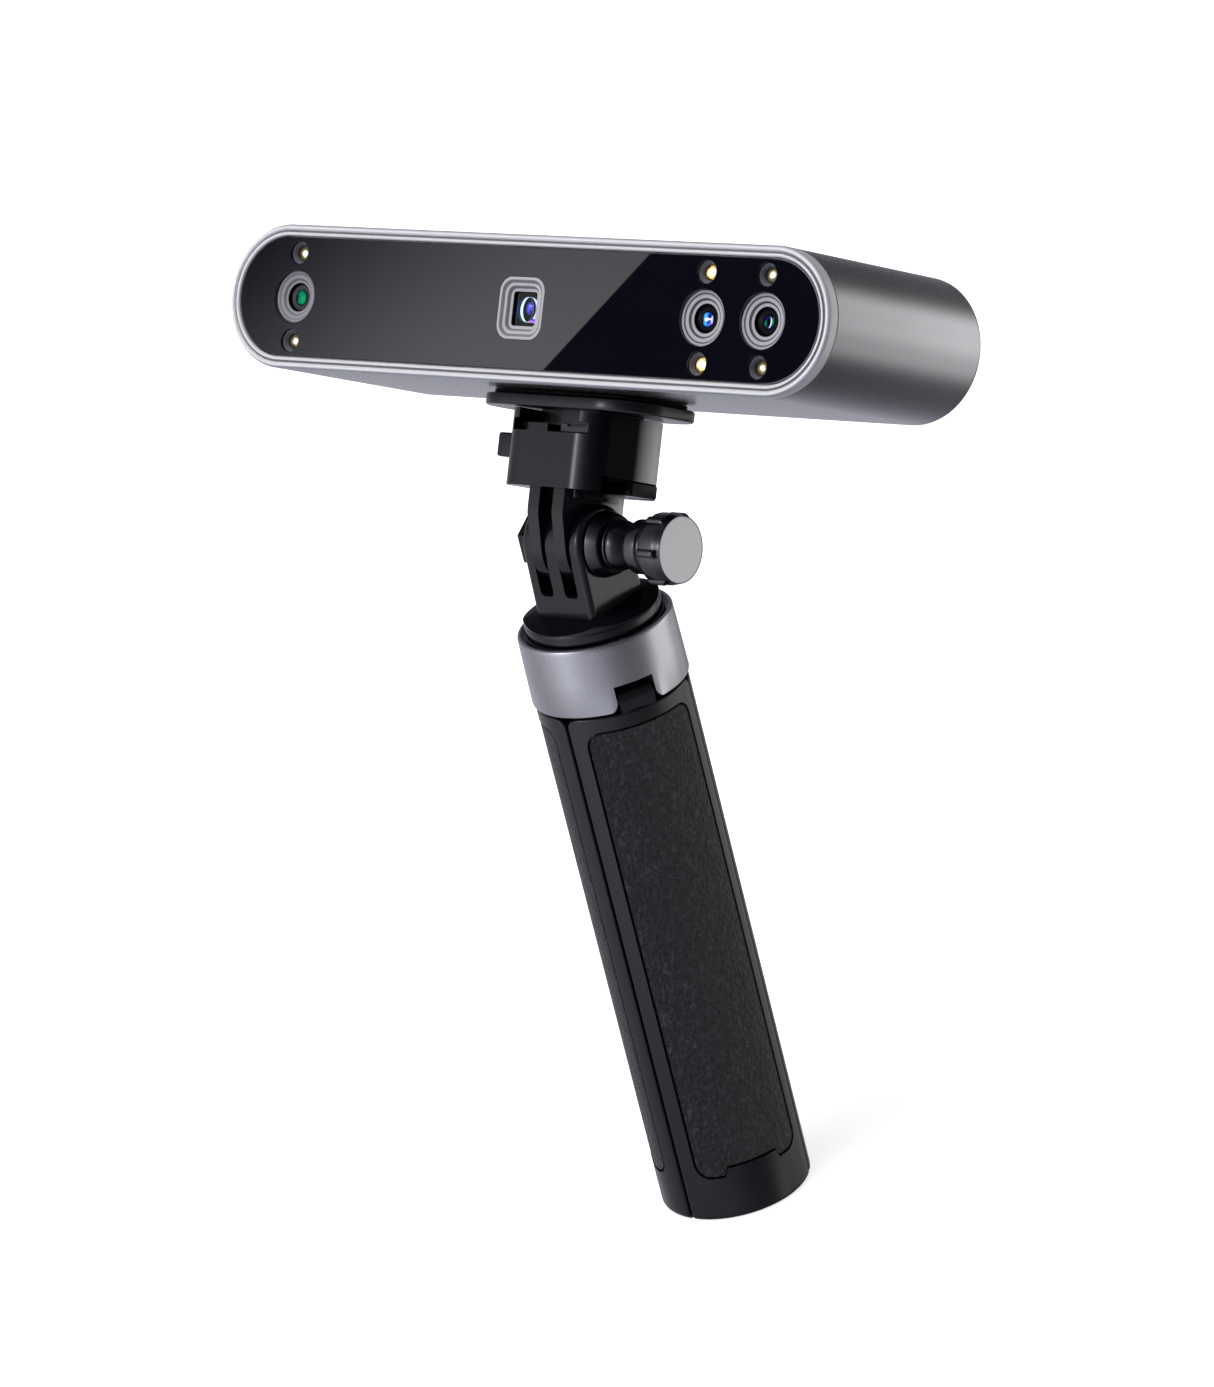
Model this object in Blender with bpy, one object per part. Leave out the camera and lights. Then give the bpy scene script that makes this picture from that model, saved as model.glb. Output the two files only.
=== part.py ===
"""Handheld 3D scanner on a quick-release tilt head and a tripod handle.

World frame: metres, +Z up along the closed handle, origin at the centre of the
handle's foot, +X along the scanner's length, -Y the side the scanner looks at.
All sizes below are millimetres and all angles degrees, in two frames:

scanner frame  origin on the hinge axis, z the scanner's own up, leaning to +Y
handle frame   origin on the hinge axis, upright, the handle at negative z

"Depth" is the distance behind the scanner's window plane, toward +y.
"Drop" is the distance below the hinge axis in the handle frame.
"""
import math

import bmesh
import bpy
from mathutils import Vector

for old_object in list(bpy.data.objects):
    bpy.data.objects.remove(old_object, do_unlink=True)

MM = 0.001
LEAN = 30.46                # lean of the scanner's up axis toward +Y
PIVOT_HEIGHT = 144.4        # hinge axis above the foot
HINGE = (0.0, 0.0, 0.0)     # hinge axis, in either frame
SMOOTH_ANGLE = 30.0         # edges sharper than this are shaded sharp

# Looks: colour, roughness, metallic
SILVER = ((0.72, 0.72, 0.74), 0.3, 1.0)
GREY_METAL = ((0.18, 0.18, 0.19), 0.35, 1.0)
ANODISED = ((0.36, 0.36, 0.38), 0.4, 1.0)
GLOSS_BLACK = ((0.01, 0.01, 0.012), 0.05, 0.0)
BLACK = ((0.025, 0.025, 0.027), 0.45, 0.0)
CHARCOAL = ((0.035, 0.035, 0.038), 0.5, 0.0)
LEATHER = ((0.02, 0.02, 0.021), 0.8, 0.0)
BAFFLE = ((0.12, 0.12, 0.12), 0.5, 0.0)
STEEL = ((0.5, 0.5, 0.52), 0.3, 1.0)
BRASS = ((0.7, 0.52, 0.25), 0.3, 1.0)
GREEN_PCB = ((0.01, 0.12, 0.05), 0.5, 0.0)
LENS = ((0.02, 0.03, 0.06), 0.05, 0.0)
RUBBER = ((0.015, 0.015, 0.015), 0.8, 0.0)
WARM = ((0.9, 0.8, 0.5), 0.4, 0.0)
LIGHT_GREY = ((0.4, 0.4, 0.41), 0.5, 0.0)
MILK = ((0.8, 0.85, 0.9), 0.4, 0.0)


# ---------------------------------------------------------------- frames
def cos_deg(angle):
    return math.cos(math.radians(angle))


def sin_deg(angle):
    return math.sin(math.radians(angle))


def scanner_frame(point):
    """Scanner frame to world axes, still in mm."""
    x, y, z = point
    return (x, y * cos_deg(LEAN) + z * sin_deg(LEAN),
            -y * sin_deg(LEAN) + z * cos_deg(LEAN) + PIVOT_HEIGHT)


def handle_frame(point):
    """Handle frame to world axes, still in mm."""
    x, y, z = point
    return (x, y, z + PIVOT_HEIGHT)


# ---------------------------------------------------------------- mesh tools
def tidy(mesh, merge=0.0, degenerate=0.0):
    """Merge close vertices, dissolve tiny faces and turn the faces outward."""
    bm = bmesh.new()
    bm.from_mesh(mesh)
    if merge:
        bmesh.ops.remove_doubles(bm, verts=bm.verts, dist=merge)
    if degenerate:
        bmesh.ops.dissolve_degenerate(bm, edges=bm.edges, dist=degenerate)
    bmesh.ops.recalc_face_normals(bm, faces=bm.faces)
    bm.to_mesh(mesh)
    bm.free()


def new_shape(verts, faces):
    mesh = bpy.data.meshes.new('shape')
    mesh.from_pydata(verts, [], faces)
    tidy(mesh, merge=1e-5)
    shape = bpy.data.objects.new('shape', mesh)
    bpy.context.scene.collection.objects.link(shape)
    return shape


def loft(rings, loop=False):
    """Skin equal-length closed rings; loop joins the last to the first."""
    size, count = len(rings[0]), len(rings)
    verts = [point for ring in rings for point in ring]
    faces = []
    for i in range(count if loop else count - 1):
        this, following = i * size, ((i + 1) % count) * size
        for j in range(size):
            k = (j + 1) % size
            faces.append((this + j, this + k, following + k, following + j))
    if not loop:
        faces.append(tuple(range(size))[::-1])
        faces.append(tuple(range((count - 1) * size, count * size)))
    return new_shape(verts, faces)


def turned(profile, segments, axis, centre=(0.0, 0.0, 0.0)):
    """Revolve (radius, height) points; a profile clear of the axis closes on itself."""
    verts, faces, rows = [], [], []
    for radius, height in profile:
        if radius < 1e-9:
            row = [len(verts)] * segments
            verts.append((0.0, 0.0, height))
        else:
            row = []
            for k in range(segments):
                angle = 2 * math.pi * k / segments
                row.append(len(verts))
                verts.append((radius * math.cos(angle), radius * math.sin(angle), height))
        rows.append(row)
    count = len(rows)
    closed = profile[0][0] > 1e-9
    for i in range(count if closed else count - 1):
        this, following = rows[i], rows[(i + 1) % count]
        for j in range(segments):
            k = (j + 1) % segments
            face = []
            for vert in (this[j], this[k], following[k], following[j]):
                if vert not in face:
                    face.append(vert)
            if len(face) > 2:
                faces.append(tuple(face))
    if axis == 'x':
        verts = [(z, x, y) for x, y, z in verts]
    elif axis == 'y':
        verts = [(x, z, y) for x, y, z in verts]
    verts = [(x + centre[0], y + centre[1], z + centre[2]) for x, y, z in verts]
    return new_shape(verts, faces)


def cylinder(radius, start, end, segments, axis, centre=(0.0, 0.0, 0.0)):
    profile = [(0, start), (radius, start), (radius, end), (0, end)]
    return turned(profile, segments, axis, centre)


def stadium(half_x, radius, segments):
    """Counter-clockwise stadium outline, given the segments in each end."""
    points = []
    for side, start in ((1, -math.pi / 2), (-1, math.pi / 2)):
        for k in range(segments + 1):
            angle = start + math.pi * k / segments
            points.append((side * (half_x - radius) + radius * math.cos(angle),
                           radius * math.sin(angle)))
    return points


def rounded_rect(half_x, half_y, radius, segments):
    """Counter-clockwise rounded rectangle, given the segments in each corner."""
    points = []
    for x, y, start in ((half_x - radius, -half_y + radius, -90),
                        (half_x - radius, half_y - radius, 0),
                        (-half_x + radius, half_y - radius, 90),
                        (-half_x + radius, -half_y + radius, 180)):
        for k in range(segments + 1):
            angle = start + 90.0 * k / segments
            points.append((x + radius * cos_deg(angle), y + radius * sin_deg(angle)))
    return points


def level_ring(outline, z, centre_x=0.0, centre_y=0.0):
    return [(centre_x + x, centre_y + y, z) for x, y in outline]


def rect_ring(x_span, y_span, z):
    return [(x_span[0], y_span[0], z), (x_span[1], y_span[0], z),
            (x_span[1], y_span[1], z), (x_span[0], y_span[1], z)]


def box(x_span, y_span, z_span):
    return loft([rect_ring(x_span, y_span, z) for z in z_span])


def soft_box(x_span, y_span, z_span, bevel):
    """Box with its top and bottom edges chamfered and upright edges rounded."""
    centre = (x_span[0] + x_span[1]) / 2, (y_span[0] + y_span[1]) / 2
    half_x, half_y = (x_span[1] - x_span[0]) / 2, (y_span[1] - y_span[0]) / 2
    full = rounded_rect(half_x, half_y, bevel, 2)
    inner = rounded_rect(half_x - bevel, half_y - bevel, bevel * 0.5, 2)
    bottom, top = z_span
    return loft([level_ring(outline, z, *centre) for outline, z in (
        (inner, bottom), (full, bottom + bevel), (full, top - bevel), (inner, top))])


def rounded_stack(size, stations):
    """Loft of a (half x, half y, corner radius) outline through (inset, z) stations."""
    return loft([level_ring(rounded_rect(*(value - inset for value in size), 6), z)
                 for inset, z in stations])


def hex_bar(corner_radius, stations):
    """Hexagonal bar along x through (x, scale) stations."""
    corners = [(corner_radius * cos_deg(60 * k + 30), corner_radius * sin_deg(60 * k + 30))
               for k in range(6)]
    return loft([[(x, y * scale, z * scale) for y, z in corners] for x, scale in stations])


def boolean(target, tool, operation):
    """Apply a boolean to target and remove the tool."""
    modifier = target.modifiers.new('cut', 'BOOLEAN')
    modifier.object = tool
    modifier.operation = operation
    modifier.solver = 'EXACT'
    depsgraph = bpy.context.evaluated_depsgraph_get()
    mesh = bpy.data.meshes.new_from_object(target.evaluated_get(depsgraph))
    target.modifiers.clear()
    old_mesh = target.data
    target.data = mesh
    bpy.data.meshes.remove(old_mesh)
    bpy.data.objects.remove(tool, do_unlink=True)


def cut(target, *tools):
    for tool in tools:
        boolean(target, tool, 'DIFFERENCE')


def join(target, *tools):
    for tool in tools:
        boolean(target, tool, 'UNION')


def material(name, colour, roughness, metallic):
    mat = bpy.data.materials.new(name)
    mat.use_nodes = True
    inputs = mat.node_tree.nodes['Principled BSDF'].inputs
    inputs['Base Color'].default_value = (*colour, 1.0)
    inputs['Roughness'].default_value = roughness
    inputs['Metallic'].default_value = metallic
    return mat


def finish(shape, name, frame, look, origin=None):
    """Name a piece, bake it to metres in the world frame and place its origin.

    Origin is a point in the piece's frame; without one it is the world origin.
    """
    place = Vector(frame(origin)) if origin else Vector((0.0, 0.0, 0.0))
    shape.name = name
    mesh = shape.data
    mesh.name = name
    for vert in mesh.vertices:
        vert.co = (Vector(frame(vert.co)) - place) * MM
    tidy(mesh, merge=2e-7, degenerate=2e-7)
    for polygon in mesh.polygons:
        polygon.use_smooth = True
    mesh.set_sharp_from_angle(angle=math.radians(SMOOTH_ANGLE))
    shape.location = place * MM
    mesh.materials.clear()
    mesh.materials.append(material(name, *look))


# ---------------------------------------------------------------- scanner
BODY_WIDTH = 153.0
BODY_RADIUS = 14.4          # half height and end radius
BODY_Z = 43.0               # body centre above the hinge
WINDOW_Y = -24.0            # window plane, depth zero
WINDOW_INSET = 2.55
WINDOW_THICK = 1.1
THROUGH_WINDOW = (-1, 3)    # depths of the window cutters
CAMERA_XS = (-59.5, 45.4, 60.1)
APERTURE_RADIUS = 5.45      # camera hole in the window
PROJECTOR_X = 0.0
PROJECTOR_HOLE = (6.35, 6.35, 3.1, 4)   # half x, half z, corner radius, segments
LED_OFFSET = 8.8            # above and below a camera
LED_HOLE_RADIUS = 2.3

SHELL_DEPTHS = (1.9, 47.8)
SHELL_WALL = 1.8
SHELL_FLANGE_INSET = 7.4    # inner flange behind the cover
SHELL_FLANGE_DEPTHS = (41.0, 44.7)
COVER_INSET = 2.1
THROUGH_COVER = (44, 48)    # depths of the cover cutters
SCREW_HOLE_RADIUS = 1.1
SCREW_ARC = 9.6             # rear screws lie on arcs about the body's end centres
SCREW_ANGLE = 50.0
SCREW_CENTRES = [(side_x * (BODY_WIDTH / 2 - BODY_RADIUS + SCREW_ARC * cos_deg(SCREW_ANGLE)),
                  BODY_Z + side_z * SCREW_ARC * sin_deg(SCREW_ANGLE))
                 for side_x in (1, -1) for side_z in (1, -1)]
BUTTON_X, USB_X, LIGHT_X = 0.0, -22.0, 12.0


def depth_ring(outline, depth, centre_x=0.0):
    """Upright ring of an (x, z) outline about the body's mid height."""
    return [(centre_x + x, WINDOW_Y + depth, BODY_Z + z) for x, z in outline]


def depth_prism(outline, depths, centre_x=0.0):
    return loft([depth_ring(outline, depth, centre_x) for depth in depths])


def depth_turned(profile, segments, x, z=BODY_Z):
    """Revolve (radius, depth) points about a line parallel to y."""
    return turned(profile, segments, 'y', (x, WINDOW_Y, z))


def depth_cylinder(radius, depths, segments, x, z=BODY_Z):
    return cylinder(radius, *depths, segments, 'y', (x, WINDOW_Y, z))


def depth_box(x_span, depth_span, z_span):
    """Box with its z span measured from the body's mid height."""
    return box(x_span, [WINDOW_Y + depth for depth in depth_span],
               [BODY_Z + z for z in z_span])


def body_loft(stations, loop=False):
    """Loft of the body outline through (inset, depth) stations."""
    return loft([depth_ring(stadium(BODY_WIDTH / 2 - inset, BODY_RADIUS - inset, 14), depth)
                 for inset, depth in stations], loop)


def front_bezel():
    stations = [(0.0, 0.1), (0.35, -0.5), (0.9, -0.5), (1.25, -0.15),   # inset, depth
                (1.6, -0.4), (2.0, -0.4), (2.3, -0.1), (2.3, 1.4), (3.4, 1.4),
                (3.4, 4.2), (2.05, 4.2), (2.05, 1.6), (0.0, 1.6)]
    finish(body_loft(stations, loop=True), 'front_bezel', scanner_frame, SILVER)


def front_window():
    window = body_loft([(WINDOW_INSET, 0.0), (WINDOW_INSET, WINDOW_THICK)])
    for x in CAMERA_XS:
        cut(window, depth_cylinder(APERTURE_RADIUS, THROUGH_WINDOW, 24, x))
        for side in (1, -1):
            cut(window, depth_cylinder(LED_HOLE_RADIUS, THROUGH_WINDOW, 12, x,
                                       BODY_Z + side * LED_OFFSET))
    cut(window, depth_prism(rounded_rect(*PROJECTOR_HOLE), THROUGH_WINDOW, PROJECTOR_X))
    finish(window, 'front_window', scanner_frame, GLOSS_BLACK)


def body_shell():
    front, rear = SHELL_DEPTHS
    flange_front, flange_rear = SHELL_FLANGE_DEPTHS
    shell = body_loft([     # inset, depth: back along the outside, forward inside
        (0.0, front), (0.0, rear - 1.2), (0.35, rear - 0.35), (1.2, rear),
        (SHELL_WALL, rear), (SHELL_WALL, flange_rear),
        (SHELL_FLANGE_INSET, flange_rear), (SHELL_FLANGE_INSET, flange_front),
        (SHELL_WALL, flange_front), (SHELL_WALL, front)], loop=True)
    for x, z in SCREW_CENTRES:
        cut(shell, depth_cylinder(SCREW_HOLE_RADIUS, (40, 45.4), 10, x, z))
    # hole in the underside round the tripod insert
    cut(shell, cylinder(4.9, 27, 31.5, 24, 'z'))
    finish(shell, 'body_shell', scanner_frame, GREY_METAL)


def rear_cover():
    cover = body_loft([(COVER_INSET, 45.0), (COVER_INSET, 46.5), (COVER_INSET + 0.3, 46.8)])
    front, rear = THROUGH_COVER
    counterbore_depth, counterbore_radius = 45.7, 2.0
    counterbored = [(0, front), (SCREW_HOLE_RADIUS, front),
                    (SCREW_HOLE_RADIUS, counterbore_depth),
                    (counterbore_radius, counterbore_depth), (counterbore_radius, rear), (0, rear)]
    for x, z in SCREW_CENTRES:
        cut(cover, depth_turned(counterbored, 12, x, z))
    button_hole_radius, light_hole_radius = 4.3, 1.1
    usb_hole = (4.75, 1.9, 1.8, 4)      # half x, half z, corner radius, segments
    cut(cover,
        depth_cylinder(button_hole_radius, THROUGH_COVER, 24, BUTTON_X),
        depth_cylinder(light_hole_radius, THROUGH_COVER, 12, LIGHT_X),
        depth_prism(rounded_rect(*usb_hole), THROUGH_COVER, USB_X))
    finish(cover, 'rear_cover', scanner_frame, BLACK)


def rear_screws():
    profile = [(0, 46.3), (0.6, 46.3), (0.9, 46.65), (1.45, 46.65), (1.7, 46.0),
               (0.8, 46.0), (0.8, 41.5), (0, 41.3)]     # radius, depth
    for i, (x, z) in enumerate(SCREW_CENTRES, 1):
        finish(depth_turned(profile, 10, x, z), f'rear_screw_{i}', scanner_frame, STEEL)


def usb_port():
    outer = (4.45, 1.6, 1.5, 3)         # half x, half z, corner radius, segments
    inner = (4.1, 1.25, 1.15, 3)
    tongue_half_x, tongue_half_z = 3.1, 0.35
    port = depth_prism(rounded_rect(*outer), (38.0, 46.6), USB_X)
    cavity = depth_prism(rounded_rect(*inner), (40.5, 48.0), USB_X)
    # the tongue is left standing by taking it out of the cavity
    cut(cavity, depth_box((USB_X - tongue_half_x, USB_X + tongue_half_x), (38, 45.9),
                          (-tongue_half_z, tongue_half_z)))
    cut(port, cavity)
    finish(port, 'usb_port', scanner_frame, STEEL)


def status_light():
    profile = [(0, 43.0), (0.8, 43.0), (0.8, 46.6), (0.6, 46.75), (0, 46.75)]
    finish(depth_turned(profile, 12, LIGHT_X), 'status_light', scanner_frame, MILK)


def scan_button():
    profile = [(0, 43.4), (5.2, 43.4), (5.2, 44.4), (4.0, 44.4), (4.0, 47.0),
               (3.6, 47.35), (2.4, 47.2), (0, 47.1)]    # radius, depth
    origin_depth = 46.8
    finish(depth_turned(profile, 24, BUTTON_X), 'scan_button', scanner_frame, BLACK,
           (BUTTON_X, WINDOW_Y + origin_depth, BODY_Z))


def main_pcb():
    board = depth_box((-62, 62), (31.5, 33.1), (-10.5, 10.5))
    chips = (   # x span, depth span, z span
        ((-9, 9), (32.9, 35.1), (-7, 7)),
        ((26, 38), (32.9, 34.4), (-5, 6)),
        ((-44, -34), (32.9, 34.1), (-4, 5)))
    join(board, *(depth_box(*chip) for chip in chips))
    finish(board, 'main_pcb', scanner_frame, GREEN_PCB)


def optical_bench():
    half_length, end_radius = 71.6, 9.8
    camera_hole_radius = 4.5
    projector_hole = (7.3, 7.3, 1.2, 2)     # half x, half z, corner radius, segments
    through = (5, 10)
    bench = depth_prism(stadium(half_length, end_radius, 12), (6.0, 8.6))
    for x in CAMERA_XS:
        cut(bench, depth_cylinder(camera_hole_radius, through, 20, x))
    cut(bench, depth_prism(rounded_rect(*projector_hole), through, PROJECTOR_X))
    finish(bench, 'optical_bench', scanner_frame, SILVER)


def tripod_insert():
    profile = [(3.35, 28.75), (4.6, 28.75), (4.6, 30.75), (6.2, 30.75), (6.2, 31.8),
               (4.6, 31.8), (4.6, 36.4), (3.35, 36.4)]  # radius, z
    finish(turned(profile, 18, 'z'), 'tripod_insert', scanner_frame, BRASS)


def camera(number, x):
    """Baffle, lens and module of one camera."""
    baffle = [(5.2, 0.12), (4.65, 0.12), (4.45, 0.55), (4.05, 0.55), (3.85, 0.95),
              (3.4, 0.95), (2.85, 1.4), (2.85, 2.4), (6.2, 2.4), (6.2, 1.45),
              (5.2, 1.45)]      # radius, depth
    lens = [(0, 1.9), (1.0, 2.0), (2.0, 2.4), (2.5, 3.0), (2.5, 3.4), (0, 3.4)]
    barrel = [(0, 3.7), (2.8, 3.7), (2.8, 2.7), (4.2, 2.7), (4.2, 12.2), (0, 12.2)]
    block_half = 5.5
    finish(depth_turned(baffle, 22, x), f'camera_baffle_{number}', scanner_frame, BAFFLE)
    finish(depth_turned(lens, 14, x), f'camera_lens_{number}', scanner_frame, LENS)
    module = depth_turned(barrel, 16, x)
    join(module, depth_box((x - block_half, x + block_half), (12.0, 15.6),
                           (-block_half, block_half)))
    finish(module, f'camera_module_{number}', scanner_frame, BLACK)


def camera_leds(number, x):
    """The leds above (a) and below (b) one camera."""
    profile = [(0, 1.15), (0.8, 1.35), (1.05, 1.8), (1.5, 1.7), (1.8, 0.95),
               (2.0, 0.95), (2.0, 3.0), (0, 3.0)]       # radius, depth
    for letter, side in (('a', 1), ('b', -1)):
        finish(depth_turned(profile, 10, x, BODY_Z + side * LED_OFFSET),
               f'led_{number}{letter}', scanner_frame, WARM)


def projector_baffle():
    stations = (    # half size, corner radius, depth
        (6.05, 2.85, 0.12), (5.5, 2.5, 0.12), (5.3, 2.3, 0.6), (4.85, 2.0, 0.6),
        (4.6, 1.8, 1.1), (4.1, 1.5, 1.1), (3.6, 1.2, 1.5), (3.6, 1.2, 2.4),
        (7.0, 3.4, 2.4), (7.0, 3.4, 1.45), (6.05, 2.85, 1.45))
    finish(loft([depth_ring(rounded_rect(half, half, radius, 3), depth, PROJECTOR_X)
                 for half, radius, depth in stations], loop=True),
           'projector_baffle', scanner_frame, BAFFLE)


def projector_lens():
    profile = [(0, 1.8), (1.3, 1.95), (2.4, 2.4), (2.95, 3.1), (2.95, 3.5), (0, 3.5)]
    finish(depth_turned(profile, 16, PROJECTOR_X), 'projector_lens', scanner_frame, LENS)


def projector_module():
    outline = (7.0, 7.0, 1.0, 2)            # half x, half z, corner radius, segments
    lens_seat_radius, lens_seat_depths = 3.25, (2, 3.8)
    module = depth_prism(rounded_rect(*outline), (2.7, 18.5), PROJECTOR_X)
    cut(module, depth_cylinder(lens_seat_radius, lens_seat_depths, 20, PROJECTOR_X))
    finish(module, 'projector_module', scanner_frame, BLACK)


# ---------------------------------------------------------------- quick release
PLATE = (21.7, 12.8, 10.5)              # half x, half y, corner radius
PLATE_Z = (25.1, 27.5)
FOOT_Y = (-5.6, 8.0)                    # T-shaped foot under the plate
FOOT_NECK, FOOT_FLANGE = 7.4, 9.2       # half widths
FOOT_Z = (20.7, 22.5)
PAD_INSET = 1.6
CLAMP = (12.0, 12.0, 5.5)               # half x, half y, corner radius
CLAMP_Z = (9.6, 24.8)
CLAMP_PRONGS_X = ((-4.5, -1.75), (1.75, 4.5))
CLAMP_PRONG_RADIUS = 8.2
CLAMP_PRONG_FRONT = (-10.1, 3.9)        # y, z of the corner on the front edge
CLAMP_PRONG_TOP = 12.0
BORE_RADIUS = 2.75                      # bolt hole through both sets of prongs
SPRING_Y, SPRING_Z = -2.0, 17.2         # axis of the release spring
SPRING_X = (-7.1, -1.7)


def mount_plate():
    bottom, top = PLATE_Z
    plate = rounded_stack(PLATE, ((0.45, bottom), (0.0, bottom + 0.45),
                                  (0.0, top - 0.3), (0.3, top)))
    overlap = 0.4
    join(plate,
         box((-FOOT_NECK, FOOT_NECK), FOOT_Y, (FOOT_Z[1] - overlap, bottom + overlap)),
         box((-FOOT_FLANGE, FOOT_FLANGE), FOOT_Y, FOOT_Z))
    screw_hole = [(0, 20), (4.6, 20), (4.6, 23.6), (3.3, 23.6), (3.3, 29), (0, 29)]
    cut(plate, turned(screw_hole, 16, 'z'))
    finish(plate, 'mount_plate', scanner_frame, BLACK)


def plate_pad():
    pad = rounded_stack(PLATE, ((PAD_INSET, 27.7), (PAD_INSET, 28.4)))
    cut(pad, cylinder(6.0, 27, 29, 16, 'z'))
    finish(pad, 'plate_pad', scanner_frame, RUBBER)


def plate_screw():
    profile = [(0, 21.0), (3.9, 21.0), (4.3, 21.4), (4.3, 23.3), (3.05, 23.3),
               (3.05, 34.8), (2.5, 35.4), (0, 35.4)]    # radius, z
    screw = turned(profile, 14, 'z')
    cut(screw, box((-5, 5), (-0.6, 0.6), (20, 22.0)))   # driver slot
    finish(screw, 'plate_screw', scanner_frame, STEEL)


def clamp_prong_outline():
    """Side outline in (y, z): a front corner, a round lower end and a straight rear."""
    y, z = CLAMP_PRONG_FRONT
    radius = CLAMP_PRONG_RADIUS
    # the round starts where the line from the front corner touches it
    start = math.atan2(z, y) + math.acos(radius / math.hypot(y, z))
    segments = 10
    points = [(y, CLAMP_PRONG_TOP), (y, z)]
    for k in range(segments + 1):
        angle = start + (2 * math.pi - start) * k / segments
        points.append((radius * math.cos(angle), radius * math.sin(angle)))
    points.append((radius, CLAMP_PRONG_TOP))
    return points


def clamp_body():
    bottom, top = CLAMP_Z
    clamp = rounded_stack(CLAMP, ((0.5, bottom), (0.0, bottom + 0.5),
                                  (0.0, top - 0.35), (0.35, top)))
    for span in CLAMP_PRONGS_X:
        join(clamp, loft([[(x, y, z) for y, z in clamp_prong_outline()] for x in span]))
    # web between the tops of the prongs
    join(clamp, loft([level_ring(rounded_rect(6.0, 6.8, 2.0, 3), z, 0.0, -0.8)
                      for z in (8.15, 11.0)]))
    recesses = (    # x span, y span, z span
        ((-7.7, 7.7), (-13, 13), (22.2, 26)),           # channel for the foot's neck
        ((-9.5, 9.5), (-13, 13), (20.4, 22.8)),         # channel for the foot's flange
        ((4.95, 13), (-8.0, 9.0), (9.0, 12.7)),         # round the lock tab
        ((-13, -9.8), (-6.2, 2.2), (15.1, 20.3)),       # release button head
        ((-13, -4.9), (-6.0, 2.0), (15.3, 19.1)),       # release button stem
        ((-9.6, 0.3), (-9.3, -5.3), (15.7, 20.8)))      # release button side bar
    cut(clamp, *(box(*recess) for recess in recesses),
        cylinder(2.1, -8, 1.2, 16, 'x', (0, SPRING_Y, SPRING_Z)),
        cylinder(BORE_RADIUS, -6, 6, 16, 'x'))
    finish(clamp, 'clamp_body', scanner_frame, BLACK, HINGE)


def release_button():
    button = soft_box((-17.8, -12.4), (-6.0, 2.0), (15.3, 20.1), 0.5)
    join(button,
         box((-12.9, -7.5), (-5.7, 1.7), (15.6, 18.8)),     # stem
         box((-9.3, -2.6), (-9.0, -5.6), (16.0, 22.2)))     # side bar
    finish(button, 'release_button', scanner_frame, BLACK, (-12.0, SPRING_Y, SPRING_Z))


def release_spring():
    coil_radius, wire_radius = 1.35, 0.3
    turns, turn_steps, wire_segments = 4, 9, 5
    start, end = SPRING_X
    steps = turn_steps * turns
    rings = []
    for i in range(steps + 1):
        turn = 2 * math.pi * i / turn_steps
        x = start + wire_radius + (end - start - 2 * wire_radius) * i / steps
        ring = []
        for k in range(wire_segments):
            angle = 2 * math.pi * k / wire_segments
            radius = coil_radius + wire_radius * math.cos(angle)
            ring.append((x + wire_radius * math.sin(angle),
                         SPRING_Y + radius * math.cos(turn),
                         SPRING_Z + radius * math.sin(turn)))
        rings.append(ring)
    finish(loft(rings), 'release_spring', scanner_frame, STEEL,
           ((start + end) / 2, SPRING_Y, SPRING_Z))


def lock_tab():
    finish(soft_box((5.3, 12.4), (0.4, 8.7), (9.7, 12.4), 0.4), 'lock_tab',
           scanner_frame, BLACK, (9.0, 4.5, 11.0))


def stop_block():
    finish(soft_box((0.9, 8.8), (-9.2, -6.0), (20.7, 22.4), 0.3), 'stop_block',
           scanner_frame, STEEL)


# ---------------------------------------------------------------- thumb screw
BOLT_RADIUS = 2.4
FACE_RADIUS, FACE_X = 6.42, (26.4, 27.0)
RIB_COUNT = 6
RIB_PHASE = 163.0           # angle of the first rib
# One rib and the plain arc after it: angle from the rib's middle, raised or not
RIB_POINTS = ((-4.6, 0), (-3.4, 1), (3.4, 1), (4.6, 0), (18.0, 0), (30.0, 0), (42.0, 0))
# Radius, x, rib height: along the outside of the knob, then its end recess and bore
KNOB_STATIONS = (
    (2.6, 11.1, 0), (5.1, 11.1, 0), (5.1, 11.8, 0), (3.7, 11.9, 0), (3.8, 12.8, 0),
    (3.6, 14.0, 0), (3.1, 15.1, 0), (2.95, 16.2, 0), (4.6, 16.6, 0), (4.95, 16.9, 0),
    (4.95, 19.7, 0), (4.6, 20.3, 0), (5.2, 21.0, 0), (6.9, 21.7, 0), (7.1, 22.2, 0.45),
    (7.1, 25.9, 0.45), (6.85, 26.6, 0), (6.65, 27.0, 0), (6.45, 27.0, 0),
    (6.45, 26.38, 0), (2.6, 26.38, 0))


def hinge_bolt():
    profile = [(0, -10.6), (2.0, -10.6), (BOLT_RADIUS, -10.2), (BOLT_RADIUS, 23.5), (0, 23.5)]
    finish(turned(profile, 16, 'x'), 'hinge_bolt', handle_frame, STEEL, HINGE)


def hinge_nut():
    nut = hex_bar(4.55, ((-10.15, 0.93), (-9.9, 1.0), (-7.8, 1.0)))
    cut(nut, cylinder(2.65, -12, -7, 16, 'x'))
    finish(nut, 'hinge_nut', handle_frame, STEEL, HINGE)


def knob_washer():
    profile = [(2.65, 7.7), (6.4, 7.7), (6.7, 8.0), (6.7, 10.5), (6.3, 10.9), (2.65, 10.9)]
    finish(turned(profile, 24, 'x'), 'knob_washer', handle_frame, BLACK, HINGE)


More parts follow.
